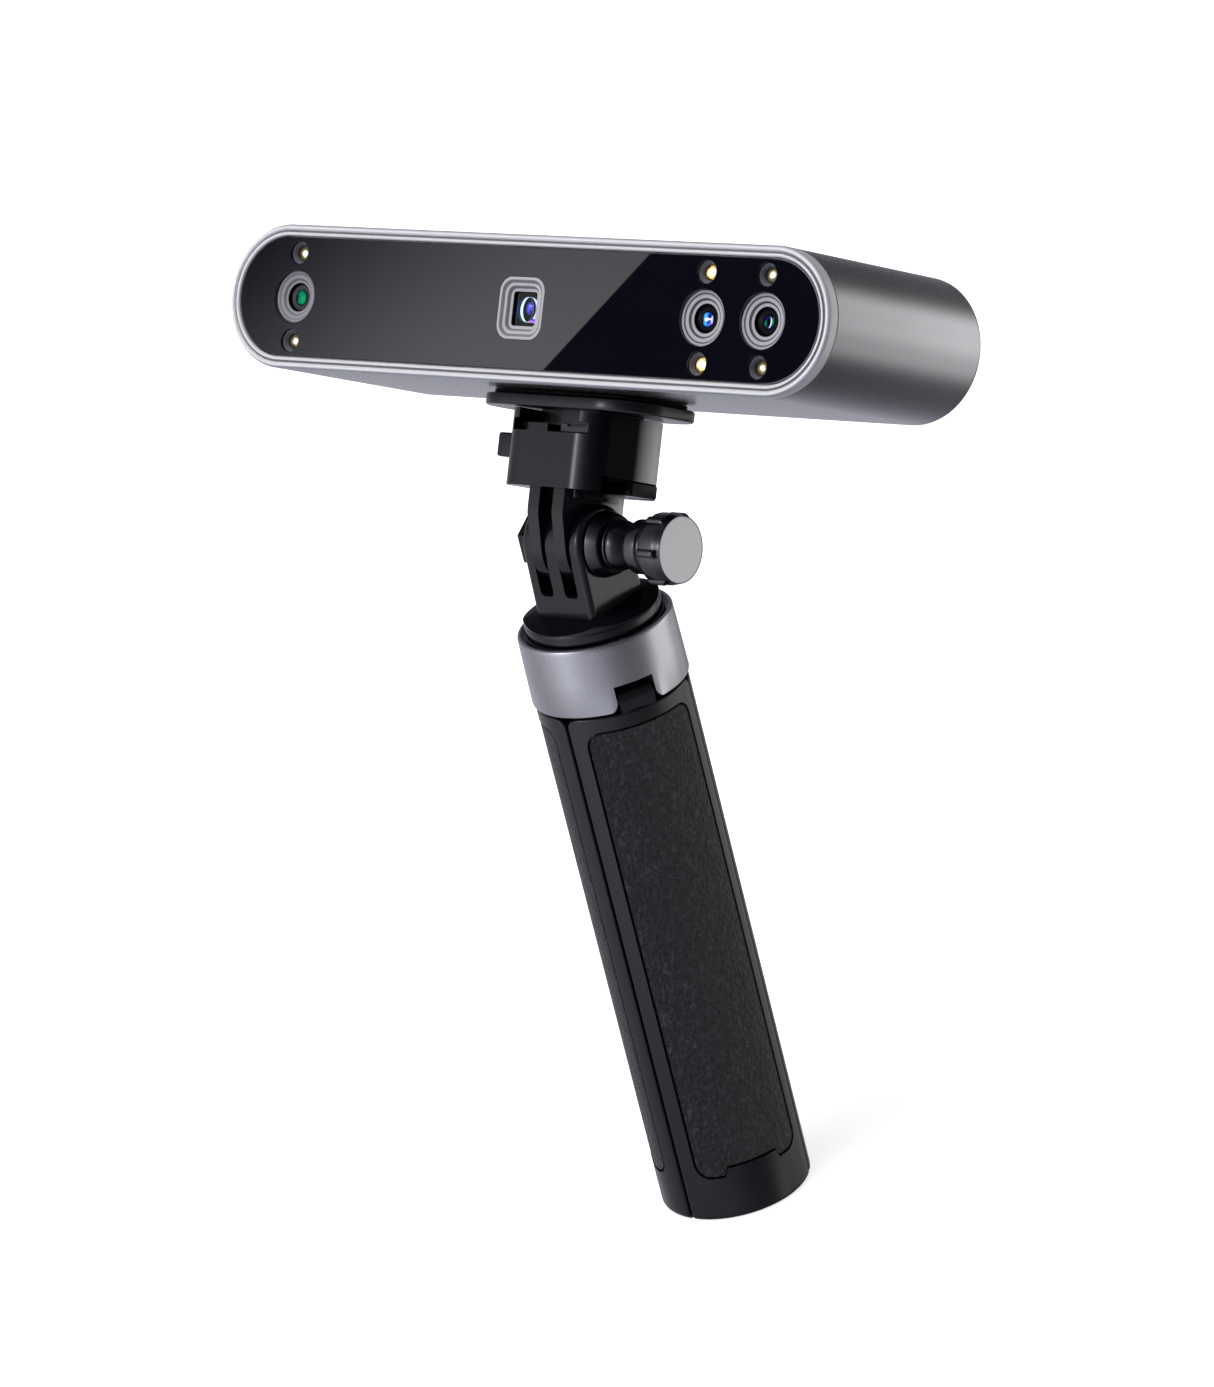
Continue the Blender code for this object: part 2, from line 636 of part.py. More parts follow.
def knob_ring(radius, x, rib_height):
    """One ring of the knob: narrow raised bars with plain arcs between."""
    ring = []
    for i in range(RIB_COUNT):
        for offset, raised in RIB_POINTS:
            angle = RIB_PHASE + i * 360.0 / RIB_COUNT + offset
            reach = radius + rib_height * raised
            ring.append((x, reach * cos_deg(angle), reach * sin_deg(angle)))
    return ring


def thumb_knob():
    finish(loft([knob_ring(*station) for station in KNOB_STATIONS], loop=True),
           'thumb_knob', handle_frame, BLACK, HINGE)


def knob_face():
    finish(cylinder(FACE_RADIUS, *FACE_X, 24, 'x'), 'knob_face', handle_frame,
           LIGHT_GREY, HINGE)


# ---------------------------------------------------------------- three-prong head
BLOCK_HALF_X = 7.5
BLOCK_TOP_RADIUS = 7.6
BLOCK_HALF_Y = 8.2          # at the block's foot
SLOTS_X = ((1.45, 4.8), (-4.8, -1.45))
SLOT_DROP = 8.5
DISC_RADIUS = 13.9
DISC_TOP, DISC_BOTTOM = 14.4, 16.5      # drops
DISC_BEVEL = 0.3
FLARE_TOP = 12.5            # drop where the block starts to flare out to the disc


def block_outline(inset):
    """Side outline of the prongs in (y, z): a round top over a straight foot."""
    radius, half_y = BLOCK_TOP_RADIUS - inset, BLOCK_HALF_Y - inset
    segments = 12
    points = []
    for k in range(segments + 1):
        angle = math.pi * k / segments
        points.append((radius * math.cos(angle), radius * math.sin(angle)))
    return points + [(-half_y, -13.5), (-half_y, -15.0), (half_y, -15.0), (half_y, -13.5)]


def block_flare():
    """Sloped base of the block, trimmed to the disc."""
    flare = loft([rect_ring((-BLOCK_HALF_X - spread, BLOCK_HALF_X + spread),
                            (-BLOCK_HALF_Y - spread, BLOCK_HALF_Y + spread), z)
                  for spread, z in ((0, -FLARE_TOP), (6.3, -DISC_TOP - 0.1), (6.3, -15.4))])
    boolean(flare, cylinder(DISC_RADIUS - DISC_BEVEL, -11, -15.2, 40, 'z'), 'INTERSECT')
    return flare


def three_prong_head():
    block_stations = (      # side, inset in x, inset of the outline
        (-1, 0, 1.2), (-1, 0.35, 0.35), (-1, 1.2, 0), (1, 1.2, 0), (1, 0.35, 0.35), (1, 0, 1.2))
    adapter = loft([[(side * (BLOCK_HALF_X - inset_x), y, z) for y, z in block_outline(inset)]
                    for side, inset_x, inset in block_stations])
    disc = [(0, -DISC_TOP), (DISC_RADIUS - DISC_BEVEL, -DISC_TOP),
            (DISC_RADIUS, -DISC_TOP - DISC_BEVEL), (DISC_RADIUS, -DISC_BOTTOM),
            (0, -DISC_BOTTOM)]
    join(adapter, turned(disc, 40, 'z'), block_flare(),
         hex_bar(5.85, ((-10.3, 0.95), (-10.0, 1.0), (-7.0, 1.0))))     # nut boss
    for span in SLOTS_X:
        cut(adapter, box(span, (-12, 12), (-SLOT_DROP, 12)))
    cut(adapter,
        hex_bar(5.0, ((-11, 1.0), (-7.5, 1.0))),        # nut pocket
        cylinder(BORE_RADIUS, -12, 9, 16, 'x'),
        cylinder(3.45, -18, -11.4, 14, 'z'))            # adapter screw hole
    finish(adapter, 'three_prong_head', handle_frame, BLACK, HINGE)


def adapter_screw():
    profile = [(0, -12.0), (2.7, -12.0), (3.15, -12.5), (3.15, -27.3), (5.2, -27.3),
               (5.2, -30.7), (0, -30.7)]        # radius, z
    finish(turned(profile, 14, 'z'), 'adapter_screw', handle_frame, STEEL)


def hub_core():
    profile = [(3.45, -16.85), (14.2, -16.85), (14.2, -17.9), (12.6, -17.9), (12.6, -24.6),
               (9.6, -24.6), (9.6, -34.0), (5.5, -34.0), (5.5, -27.0), (3.45, -27.0)]
    finish(turned(profile, 28, 'z'), 'hub_core', handle_frame, BLACK)


# ---------------------------------------------------------------- collar and legs
# Azimuths run about z from -Y toward +X. Side angles are measured from a leg's middle.
LEGS = (('a', 60.0), ('b', 180.0), ('c', 300.0))    # letter, azimuth
COLLAR_TOP, COLLAR_BOTTOM = 16.6, 31.0              # drops
COLLAR_TOP_RADIUS, COLLAR_RADIUS = 15.74, 15.97
COLLAR_INNER_RADIUS = 12.9
NOTCH_DROPS = (25.6, 34.0)
NOTCH_ANGLE = 15.2          # half angle
NOTCH_ROUND = 2.2           # radius of the collar's corners beside a notch
PIN_REACH, PIN_DROP = 13.6, 29.3                    # leg hinge, from the handle's axis
PIN_RADIUS, PIN_HALF = 0.7, 5.6
PIN_HOLE_RADIUS = 0.95
KNUCKLE_RADIUS = 1.75
TAB_ANGLE = 13.8            # half angle of the hinge tab
LEG_RADIUS = 15.5
LEG_DROPS = (31.6, PIVOT_HEIGHT)
LEG_GAP = 0.25              # from a leg's flat side to the plane between two legs
LEG_EDGE = 0.7              # size of the rounded long edges
LEG_TOP_ROUND = 2.0
PAD_ANGLE = 43.8            # half angle
PAD_DROPS = (35.0, 134.4)
PAD_CORNER = 3.0
PAD_STEP, PAD_STEP_ANGLE = 1.9, 21.5    # rise of the pad's lower edge, its half angle
PAD_RADII = (14.45, 15.42)
GROOVE = 0.45               # gap round the pad
GROOVE_RADII = (14.3, 17.0)


def polar(azimuth, across, radius, z):
    """Leg coordinates (tangential, radial, z) to the handle frame."""
    angle = math.radians(azimuth)
    return (radius * math.sin(angle) + across * math.cos(angle),
            -radius * math.cos(angle) + across * math.sin(angle), z)


def leg_hinge(azimuth):
    return polar(azimuth, 0.0, PIN_REACH, -PIN_DROP)


def hinge_rod(azimuth, radius, half_length):
    """Rod along a leg's hinge axis."""
    rod = cylinder(radius, -half_length, half_length, 12, 'x')
    for vert in rod.data.vertices:
        x, y, z = vert.co
        vert.co = polar(azimuth, x, PIN_REACH + y, z - PIN_DROP)
    tidy(rod.data)          # polar mirrors the rod, so its faces need turning
    return rod


def sleeve(azimuth, inner, outer, columns):
    """Curved slab between two radii; columns are (side angle, top drop, bottom drop)."""
    def corner(angle, radius, drop):
        return polar(azimuth, radius * sin_deg(angle), radius * cos_deg(angle), -drop)

    return loft([[corner(angle, outer, top), corner(angle, outer, bottom),
                  corner(angle, inner, bottom), corner(angle, inner, top)]
                 for angle, top, bottom in columns])


def round_corner(radius, steps):
    """Quarter round as (inset from the side, setback from the end) pairs."""
    pairs = []
    for k in range(steps + 1):
        inset = radius * (1 - cos_deg(90.0 * k / steps))
        setback = radius - math.sqrt(max(0.0, radius ** 2 - (radius - inset) ** 2))
        pairs.append((inset, setback))
    return pairs


def notch_columns():
    """Sleeve columns of the collar notch, flaring round the collar's lower corners."""
    top, bottom = NOTCH_DROPS
    right = [(NOTCH_ANGLE, top, bottom),
             (NOTCH_ANGLE + 0.02, COLLAR_BOTTOM - NOTCH_ROUND, bottom)]
    steps = 5
    for k, (inset, setback) in enumerate(round_corner(NOTCH_ROUND, steps)[1:], 1):
        past_edge = 0.05 if k == steps else 0.0
        right.append((NOTCH_ANGLE + math.degrees(inset / COLLAR_RADIUS),
                      COLLAR_BOTTOM - setback + past_edge, bottom))
    left = [(-angle, start, end) for angle, start, end in reversed(right)]
    return left + [(-5.0, top, bottom), (5.0, top, bottom)] + right


def collar():
    profile = [     # radius, z
        (14.4, -COLLAR_TOP), (15.35, -COLLAR_TOP), (COLLAR_TOP_RADIUS, -COLLAR_TOP - 0.45),
        (COLLAR_RADIUS, -COLLAR_BOTTOM + 0.3), (COLLAR_RADIUS - 0.3, -COLLAR_BOTTOM),
        (COLLAR_INNER_RADIUS, -COLLAR_BOTTOM), (COLLAR_INNER_RADIUS, -18.2), (14.4, -18.2)]
    ring = turned(profile, 54, 'z')
    for _, azimuth in LEGS:
        cut(ring, sleeve(azimuth, 11.0, 18.0, notch_columns()))
        cut(ring, hinge_rod(azimuth, PIN_HOLE_RADIUS, 5.9))
    finish(ring, 'collar', handle_frame, ANODISED)


def pad_columns(grow=0.0):
    """Sleeve columns of the pad, a rounded rectangle with a stepped lower edge."""
    half_angle = PAD_ANGLE + math.degrees(grow / LEG_RADIUS)
    top, bottom = PAD_DROPS[0] - grow, PAD_DROPS[1] + grow
    corner = PAD_CORNER + grow
    right = [(half_angle - math.degrees(inset / LEG_RADIUS), top + setback, bottom - setback)
             for inset, setback in round_corner(corner, 4)]
    inner = half_angle - math.degrees(corner / LEG_RADIUS)
    segments = 8
    angles = [-inner + 2 * inner * k / segments for k in range(1, segments)]
    # a close pair of columns makes each end of the step
    angles = [angle for angle in angles if abs(abs(angle) - PAD_STEP_ANGLE) > 2.0]
    angles += [side * (PAD_STEP_ANGLE + offset) for side in (-1, 1) for offset in (-0.9, 0.9)]
    middle = [(angle, top, bottom - (PAD_STEP if abs(angle) < PAD_STEP_ANGLE else 0.0))
              for angle in sorted(angles)]
    return [(-angle, start, end) for angle, start, end in right] + middle + right[::-1]


def leg_section(radius, gap, z, azimuth):
    """Sector outline with rounded outer corners, at one height."""
    segments = 8
    half_angle = 60.0 - math.degrees(math.asin(gap / radius))
    corner = (radius * sin_deg(half_angle), radius * cos_deg(half_angle))
    apex = (0.0, gap / sin_deg(60))
    side = (corner[0] - LEG_EDGE * sin_deg(60), corner[1] - LEG_EDGE * cos_deg(60))
    arc_angle = half_angle - math.degrees(LEG_EDGE / radius)
    arc = [(radius * sin_deg(arc_angle * k / segments), radius * cos_deg(arc_angle * k / segments))
           for k in range(-segments, segments + 1)]
    # one point rounds each corner, drawn in from the sharp corner
    middle = [(side[i] + arc[-1][i]) / 2 * 0.35 + corner[i] * 0.65 - pull
              for i, pull in enumerate((0.12, 0.02))]
    outline = [apex, (-side[0], side[1]), (-middle[0], middle[1])] + arc + [middle, side]
    return [polar(azimuth, across, reach, z) for across, reach in outline]


def hinge_tab(azimuth):
    """Round-topped tab that widens outward in the collar notch."""
    profile = []        # radius, z
    for k in range(9):
        angle = 180.0 * k / 8
        profile.append((PIN_REACH + KNUCKLE_RADIUS * cos_deg(angle),
                        -PIN_DROP + KNUCKLE_RADIUS * sin_deg(angle)))
    profile += [(PIN_REACH - KNUCKLE_RADIUS, -33.0), (PIN_REACH + 1.35, -33.0),
                (PIN_REACH + 1.6, -30.4)]
    return loft([[polar(azimuth, radius * math.tan(math.radians(side)), radius, z)
                  for radius, z in profile] for side in (-TAB_ANGLE, TAB_ANGLE)])


def leg(letter, azimuth):
    top, bottom = LEG_DROPS
    stations = []       # radius, gap, drop
    for k, (inset, setback) in enumerate(round_corner(LEG_TOP_ROUND, 4)):
        bevel, lower = (0.0, 0.25) if k else (0.3, 0.0)
        stations.append((LEG_RADIUS - bevel, LEG_GAP + setback, top + inset + lower))
    stations += [(LEG_RADIUS, LEG_GAP, bottom - 1.5), (LEG_RADIUS - 0.45, LEG_GAP, bottom - 0.5),
                 (LEG_RADIUS - 1.3, LEG_GAP, bottom)]
    body = loft([leg_section(radius, gap, -drop, azimuth) for radius, gap, drop in stations])
    cut(body, cylinder(9.95, -30, -34.3, 28, 'z'))      # clearance round the hub
    join(body, hinge_tab(azimuth))
    cut(body, hinge_rod(azimuth, PIN_HOLE_RADIUS, 6))
    cut(body, sleeve(azimuth, *GROOVE_RADII, pad_columns(GROOVE)))
    finish(body, f'leg_{letter}', handle_frame, CHARCOAL, leg_hinge(azimuth))


def leg_pad(letter, azimuth):
    finish(sleeve(azimuth, *PAD_RADII, pad_columns()), f'leg_pad_{letter}',
           handle_frame, LEATHER, leg_hinge(azimuth))


def leg_pin(letter, azimuth):
    finish(hinge_rod(azimuth, PIN_RADIUS, PIN_HALF), f'leg_pin_{letter}',
           handle_frame, STEEL, leg_hinge(azimuth))


# ---------------------------------------------------------------- build
for build in (front_bezel, front_window, body_shell, rear_cover, rear_screws, usb_port,
              status_light, scan_button, main_pcb, optical_bench, tripod_insert):
    build()
for camera_number, camera_x in enumerate(CAMERA_XS, 1):
    camera(camera_number, camera_x)
    camera_leds(camera_number, camera_x)
for build in (projector_baffle, projector_lens, projector_module,
              mount_plate, plate_pad, plate_screw, clamp_body, release_button,
              release_spring, lock_tab, stop_block,
              hinge_bolt, hinge_nut, knob_washer, thumb_knob, knob_face,
              three_prong_head, adapter_screw, hub_core, collar):
    build()
for leg_letter, leg_azimuth in LEGS:
    for build in (leg, leg_pad, leg_pin):
        build(leg_letter, leg_azimuth)
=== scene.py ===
"""A wide scanner on a tilting clamp, above a handle of three closed legs.

Sizes are in millimetres until place() bakes them to metres. Both part frames start at the
hinge axis, which runs along x. The 'arm' frame is upright; the 'head' frame leans back by
LEAN. The front of the scanner faces -y and the handle stands on z = 0.
"""
from math import acos, asin, atan2, cos, degrees, hypot, pi, radians, sin, sqrt, tan
import bpy
import bmesh
from mathutils import Matrix, Vector


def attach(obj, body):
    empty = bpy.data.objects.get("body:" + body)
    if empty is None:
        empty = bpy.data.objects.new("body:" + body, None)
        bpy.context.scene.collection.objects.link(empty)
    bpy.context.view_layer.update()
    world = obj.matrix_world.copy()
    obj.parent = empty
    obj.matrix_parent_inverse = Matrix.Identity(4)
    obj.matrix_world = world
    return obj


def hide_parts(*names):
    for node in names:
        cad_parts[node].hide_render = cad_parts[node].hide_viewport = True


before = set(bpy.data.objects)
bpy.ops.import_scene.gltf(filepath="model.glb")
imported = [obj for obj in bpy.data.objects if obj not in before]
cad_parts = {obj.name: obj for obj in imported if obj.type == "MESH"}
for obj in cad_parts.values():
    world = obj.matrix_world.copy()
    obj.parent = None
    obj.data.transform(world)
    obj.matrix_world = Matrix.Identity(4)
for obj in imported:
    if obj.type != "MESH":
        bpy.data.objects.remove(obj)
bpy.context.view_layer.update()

# ------------------------------------------------------------------ layout
MM = 0.001
LEAN = radians(30.46)
LEAN_COS, LEAN_SIN = cos(LEAN), sin(LEAN)
PIVOT_Z = 144.4                     # hinge axis above the floor
BODY_W, BODY_R = 153.0, 14.4        # scanner width and end radius
BODY_Z = 43.0                       # scanner centre above the hinge axis, head frame
FRONT_Y = -24.0                     # front plane of the scanner, head frame
SHELL_BACK, WALL = 47.8, 1.8        # shell depth from the front plane, wall thickness
CAMERAS = ((-59.5, 5.25), (45.4, 5.45), (60.1, 5.45))    # x, hole radius in the window
LED_PITCH = 8.8                     # lamps above and below each camera
STATUS_X, SOCKET_X = 12.0, -22.0    # on the back of the scanner
LEG_ANGLES = (60.0, 180.0, 300.0)   # about z, from the front
LEG_R = 15.5
LEG_PIN_R, LEG_PIN_Z = 13.6, -29.3  # leg pin axis, arm frame
HINGE_BORE = 2.75
HEAD_BODIES = ('scanner', 'button', 'tilt_head', 'release', 'lock')


def head(point):
    x, y, z = point
    return (x, y * LEAN_COS + z * LEAN_SIN, -y * LEAN_SIN + z * LEAN_COS + PIVOT_Z)


def arm(point):
    x, y, z = point
    return (x, y, z + PIVOT_Z)


def behind(depth):
    """The y that lies this far behind the front plane."""
    return FRONT_Y + depth


# ------------------------------------------------------------------ mesh tools
# Objects named 'tool' are used up by a boolean.
def edit(mesh, work):
    bm = bmesh.new()
    bm.from_mesh(mesh)
    work(bm)
    bm.to_mesh(mesh)
    bm.free()


def face_outward(bm):
    bmesh.ops.recalc_face_normals(bm, faces=bm.faces)


def merge_doubles(bm):
    bmesh.ops.remove_doubles(bm, verts=bm.verts, dist=1e-5)
    face_outward(bm)


def dissolve_flat(bm):
    bmesh.ops.dissolve_limit(bm, angle_limit=radians(0.8), verts=bm.verts, edges=bm.edges)


def new_object(name, verts, faces):
    mesh = bpy.data.meshes.new(name)
    mesh.from_pydata(verts, [], faces)
    edit(mesh, merge_doubles)
    ob = bpy.data.objects.new(name, mesh)
    bpy.context.scene.collection.objects.link(ob)
    return ob


def loft(name, rings, closed=False):
    """Skin a row of equal rings; capped at both ends, or closed back on the first."""
    n, m = len(rings[0]), len(rings)
    faces = []
    for i in range(m if closed else m - 1):
        a, b = i * n, ((i + 1) % m) * n
        for j in range(n):
            k = (j + 1) % n
            faces.append((a + j, a + k, b + k, b + j))
    if not closed:
        faces.append(tuple(range(n))[::-1])
        faces.append(tuple(range((m - 1) * n, m * n)))
    return new_object(name, [v for r in rings for v in r], faces)


def arc(cx, cy, radius, angles):
    return [(cx + radius * cos(radians(a)), cy + radius * sin(radians(a))) for a in angles]


def stadium(half_x, radius, steps=64):
    points = []
    for side, start in ((1, -pi / 2), (-1, pi / 2)):
        for k in range(steps + 1):
            a = start + pi * k / steps
            points.append((side * (half_x - radius) + radius * cos(a), radius * sin(a)))
    return points


def rounded_box(half_x, half_y, radius, steps):
    points = []
    for side_x, side_y, start in ((1, -1, -90), (1, 1, 0), (-1, 1, 90), (-1, -1, 180)):
        points += arc(side_x * (half_x - radius), side_y * (half_y - radius), radius,
                      [start + 90.0 * k / steps for k in range(steps + 1)])
    return points


def hexagon(radius):
    return arc(0.0, 0.0, radius, [60 * k + 30 for k in range(6)])


def ring(points, height, axis='z', centre=(0.0, 0.0)):
    """Lay an outline across an axis; across y, centre is (x, z)."""
    cx, cy = centre
    if axis == 'y':
        return [(cx + u, height, cy + v) for u, v in points]
    return [(cx + u, cy + v, height) for u, v in points]


def slab(name, size, steps, stations, centre=(0.0, 0.0), corner_rate=1.0):
    """Rounded box upright on z. size: half x, half y, corner; stations: inset, z."""
    half_x, half_y, radius = size
    return loft(name, [ring(rounded_box(half_x - d, half_y - d, radius - d * corner_rate, steps),
                            z, 'z', centre) for d, z in stations])


def face_slab(name, size, steps, stations, x=0.0):
    """Rounded box along y. size: half x, half z, corner; stations: inset, depth."""
    half_x, half_z, radius = size
    return loft(name, [ring(rounded_box(half_x - d, half_z - d, radius - d, steps),
                            behind(t), 'y', (x, BODY_Z)) for d, t in stations])


def body_ring(inset, depth):
    """The outline of the scanner body, moved in by inset."""
    return ring(stadium(BODY_W / 2 - inset, BODY_R - inset), behind(depth), 'y', (0.0, BODY_Z))


def bar(name, outline, stations):
    """A (y, z) outline carried along x. stations: x, scale of the outline."""
    return loft(name, [[(x, y * f, z * f) for y, z in outline] for x, f in stations])


def turned(name, profile, steps, axis, centre=(0.0, 0.0, 0.0)):
    """Revolve (radius, height); a profile that starts off the axis is closed on itself."""
    closed = profile[0][0] > 1e-9
    verts, faces, rows = [], [], []
    for r, h in profile:
        if r < 1e-9:
            row = [len(verts)] * steps
            verts.append((0.0, 0.0, h))
        else:
            row = []
            for k in range(steps):
                a = 2 * pi * k / steps
                row.append(len(verts))
                verts.append((r * cos(a), r * sin(a), h))
        rows.append(row)
    m = len(rows)
    for i in range(m if closed else m - 1):
        a, b = rows[i], rows[(i + 1) % m]
        for j in range(steps):
            k = (j + 1) % steps
            face = []
            for v in (a[j], a[k], b[k], b[j]):
                if v not in face:
                    face.append(v)
            if len(face) > 2:
                faces.append(tuple(face))
    cx, cy, cz = centre
    if axis == 'x':
        verts = [(z + cx, x + cy, y + cz) for x, y, z in verts]
    elif axis == 'y':
        verts = [(x + cx, z + cy, y + cz) for x, y, z in verts]
    else:
        verts = [(x + cx, y + cy, z + cz) for x, y, z in verts]
    return new_object(name, verts, faces)


def face_turned(name, profile, steps, x, z=BODY_Z):
    """Turned about y. profile: radius, depth behind the front plane."""
    return turned(name, profile, steps, 'y', (x, FRONT_Y, z))


def rod_profile(radius, start, end):
    return [(0, start), (radius, start), (radius, end), (0, end)]


def rod(radius, start, end, steps, axis='z', centre=(0.0, 0.0, 0.0)):
    return turned('tool', rod_profile(radius, start, end), steps, axis, centre)


def dome(radius, depth, sag, angles):
    """Profile of a bulging front whose edge lies sag behind its middle."""
    return [(0, depth)] + [(radius * sin(radians(a)), depth + sag * (1 - cos(radians(a))))
                           for a in angles]


def box(name, x, y, z):
    return loft(name, [[(x[0], y[0], h), (x[1], y[0], h), (x[1], y[1], h), (x[0], y[1], h)]
                       for h in z])


def apply_modifier(ob, kind, **settings):
    modifier = ob.modifiers.new(kind, kind)
    for key, value in settings.items():
        setattr(modifier, key, value)
    graph = bpy.context.evaluated_depsgraph_get()
    mesh = bpy.data.meshes.new_from_object(ob.evaluated_get(graph))
    ob.modifiers.clear()
    old = ob.data
    ob.data = mesh
    bpy.data.meshes.remove(old)


def boolean(ob, tool, operation):
    apply_modifier(ob, 'BOOLEAN', object=tool, operation=operation, solver='EXACT')
    bpy.data.objects.remove(tool, do_unlink=True)


def cut(ob, *tools):
    for tool in tools:
        boolean(ob, tool, 'DIFFERENCE')


def join(ob, *tools):
    for tool in tools:
        boolean(ob, tool, 'UNION')


def place(ob, material, body, node=None, smooth=32.0, bevel=0.0, segments=2, bevel_angle=30.0):
    """Bevel in mm, bake to world metres, shade, and tell the frame what it stands for."""
    if bevel > 0:
        edit(ob.data, dissolve_flat)
        apply_modifier(ob, 'BEVEL', width=bevel, segments=segments, limit_method='ANGLE',
                       angle_limit=radians(bevel_angle), use_clamp_overlap=True,
                       miter_outer='MITER_ARC')
    to_world = head if body in HEAD_BODIES else arm
    mesh = ob.data
    for v in mesh.vertices:
        v.co = Vector(to_world(v.co)) * MM
    edit(mesh, face_outward)
    for face in mesh.polygons:
        face.use_smooth = True
    mesh.set_sharp_from_angle(angle=radians(smooth))
    if bevel > 0:
        apply_modifier(ob, 'WEIGHTED_NORMAL', keep_sharp=True, weight=80)
    ob.data.materials.clear()
    ob.data.materials.append(MATERIALS[material])
    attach(ob, body)
    if node:
        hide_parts(node)


# ------------------------------------------------------------------ shader tools
MATERIALS = {}
FRONT_AXES = {'u': Vector((1.0, 0.0, 0.0)), 'w': Vector((0.0, LEAN_SIN, LEAN_COS)),
              'd': Vector((0.0, LEAN_COS, -LEAN_SIN))}


class Shader:
    """Short ways to add and link nodes; values may be numbers or sockets."""

    def __init__(self, owner):
        owner.use_nodes = True
        self.tree = owner.node_tree

    def feed(self, node, inputs):
        for key, value in inputs.items():
            if isinstance(value, bpy.types.NodeSocket):
                self.tree.links.new(value, node.inputs[key])
            else:
                node.inputs[key].default_value = value

    def add(self, kind, inputs=None, **settings):
        node = self.tree.nodes.new('ShaderNode' + kind)
        for key, value in settings.items():
            setattr(node, key, value)
        self.feed(node, inputs or {})
        return node

    def surface(self, inputs):
        self.feed(self.tree.nodes['Principled BSDF'], inputs)

    def math(self, operation, *values):
        return self.add('Math', dict(enumerate(values)), operation=operation).outputs[0]

    def times(self, first, *others):
        for other in others:
            first = self.math('MULTIPLY', first, other)
        return first

    def plus(self, first, *others):
        for other in others:
            first = self.math('ADD', first, other)
        return first

    def minus(self, first, second):
        return self.math('SUBTRACT', first, second)

    def vector(self, operation, first, second):
        key = 'Scale' if operation == 'SCALE' else 1
        node = self.add('VectorMath', {0: first, key: second}, operation=operation)
        return node.outputs['Value' if operation == 'DOT_PRODUCT' else 'Vector']

    def component(self, vector, axis):
        return self.add('SeparateXYZ', {0: vector}).outputs[axis]

    def normal(self, axis):
        return self.component(self.add('NewGeometry').outputs['Normal'], axis)

    def object_coords(self):
        return self.add('TexCoord').outputs['Object']

    def coords(self, scale=(1, 1, 1)):
        mapping = self.add('Mapping', {'Scale': scale, 'Vector': self.object_coords()})
        return mapping.outputs['Vector']

    def noise(self, vector, scale, detail, roughness, distortion=0.0, output='Fac'):
        node = self.add('TexNoise', {'Scale': scale, 'Detail': detail, 'Roughness': roughness,
                                     'Distortion': distortion, 'Vector': vector})
        return node.outputs[output]

    def remap(self, value, span, result=(0.0, 1.0)):
        node = self.add('MapRange', {'Value': value, 'From Min': span[0], 'From Max': span[1],
                                     'To Min': result[0], 'To Max': result[1]})
        return node.outputs['Result']

    def smooth_step(self, value, start, end):
        node = self.add('MapRange', {'Value': value, 'From Min': start, 'From Max': end},
                        interpolation_type='SMOOTHSTEP')
        return node.outputs['Result']

    def ramp(self, value, stops):
        """stops: position, colour."""
        node = self.add('ValToRGB', {'Fac': value})
        elements = node.color_ramp.elements
        for i, (position, colour) in enumerate(stops):
            if i < 2:
                elements[i].position = position
                elements[i].color = (*colour, 1)
            else:
                elements.new(position).color = (*colour, 1)
        return node.outputs['Color']

    def blend(self, factor, first, second):
        return self.add('Mix', {0: factor, 6: first, 7: second}, data_type='RGBA').outputs[2]

    def bump(self, height, strength, distance):
        node = self.add('Bump', {'Strength': strength, 'Distance': distance, 'Height': height})
        self.surface({'Normal': node.outputs['Normal']})

    def front_coords(self, x, z, axes):
        """Object coordinates, then mm from a point of the front plane along the asked axes:
        u across the body, w up it, d back into it."""
        position = self.object_coords()
        origin = Vector(head((x, FRONT_Y, z))) * MM
        offset = self.vector('SUBTRACT', position, origin)
        return [position] + [
            self.times(self.vector('DOT_PRODUCT', offset, FRONT_AXES[axis]), 1.0 / MM)
            for axis in axes]

    def radius(self, u, w, centre=(0.0, 0.0), scale=(1.0, 1.0)):
        """Distance from a centre in mm, with the axes scaled for an ellipse."""
        a = self.times(self.minus(u, centre[0]), scale[0])
        b = self.times(self.minus(w, centre[1]), scale[1])
        return self.math('SQRT', self.plus(self.times(a, a), self.times(b, b)))

    def body_inset(self, u, w):
        """Distance in from the outline of the body, in mm."""
        beyond = self.minus(self.math('ABSOLUTE', u), BODY_W / 2 - BODY_R)
        end = self.math('MAXIMUM', beyond, 0.0)
        return self.minus(BODY_R, self.radius(end, w))


def new_material(name):
    MATERIALS[name] = bpy.data.materials.new(name)
    return Shader(MATERIALS[name])


# ------------------------------------------------------------------ plain materials
# name, colour, roughness, grain (size in mm, or scale along each axis), relief, tone variation
METALS = (
    ('shell_anodised', (0.33, 0.33, 0.342), 0.26, 0.16, 0.012, 0.02),
    ('collar_anodised', (0.445, 0.445, 0.468), 0.26, 0.14, 0.015, 0.02),
    ('plain_steel', (0.55, 0.55, 0.57), 0.25, (900, 9000, 9000), 0.08, 0.06),
    ('blackened_steel', (0.10, 0.10, 0.11), 0.32, (900, 9000, 9000), 0.08, 0.06),
    ('turned_brass', (0.78, 0.6, 0.3), 0.25, (5000, 5000, 600), 0.08, 0.06),
    ('machined_bench', (0.6, 0.6, 0.62), 0.35, 0.2, 0.1, 0.06),
)
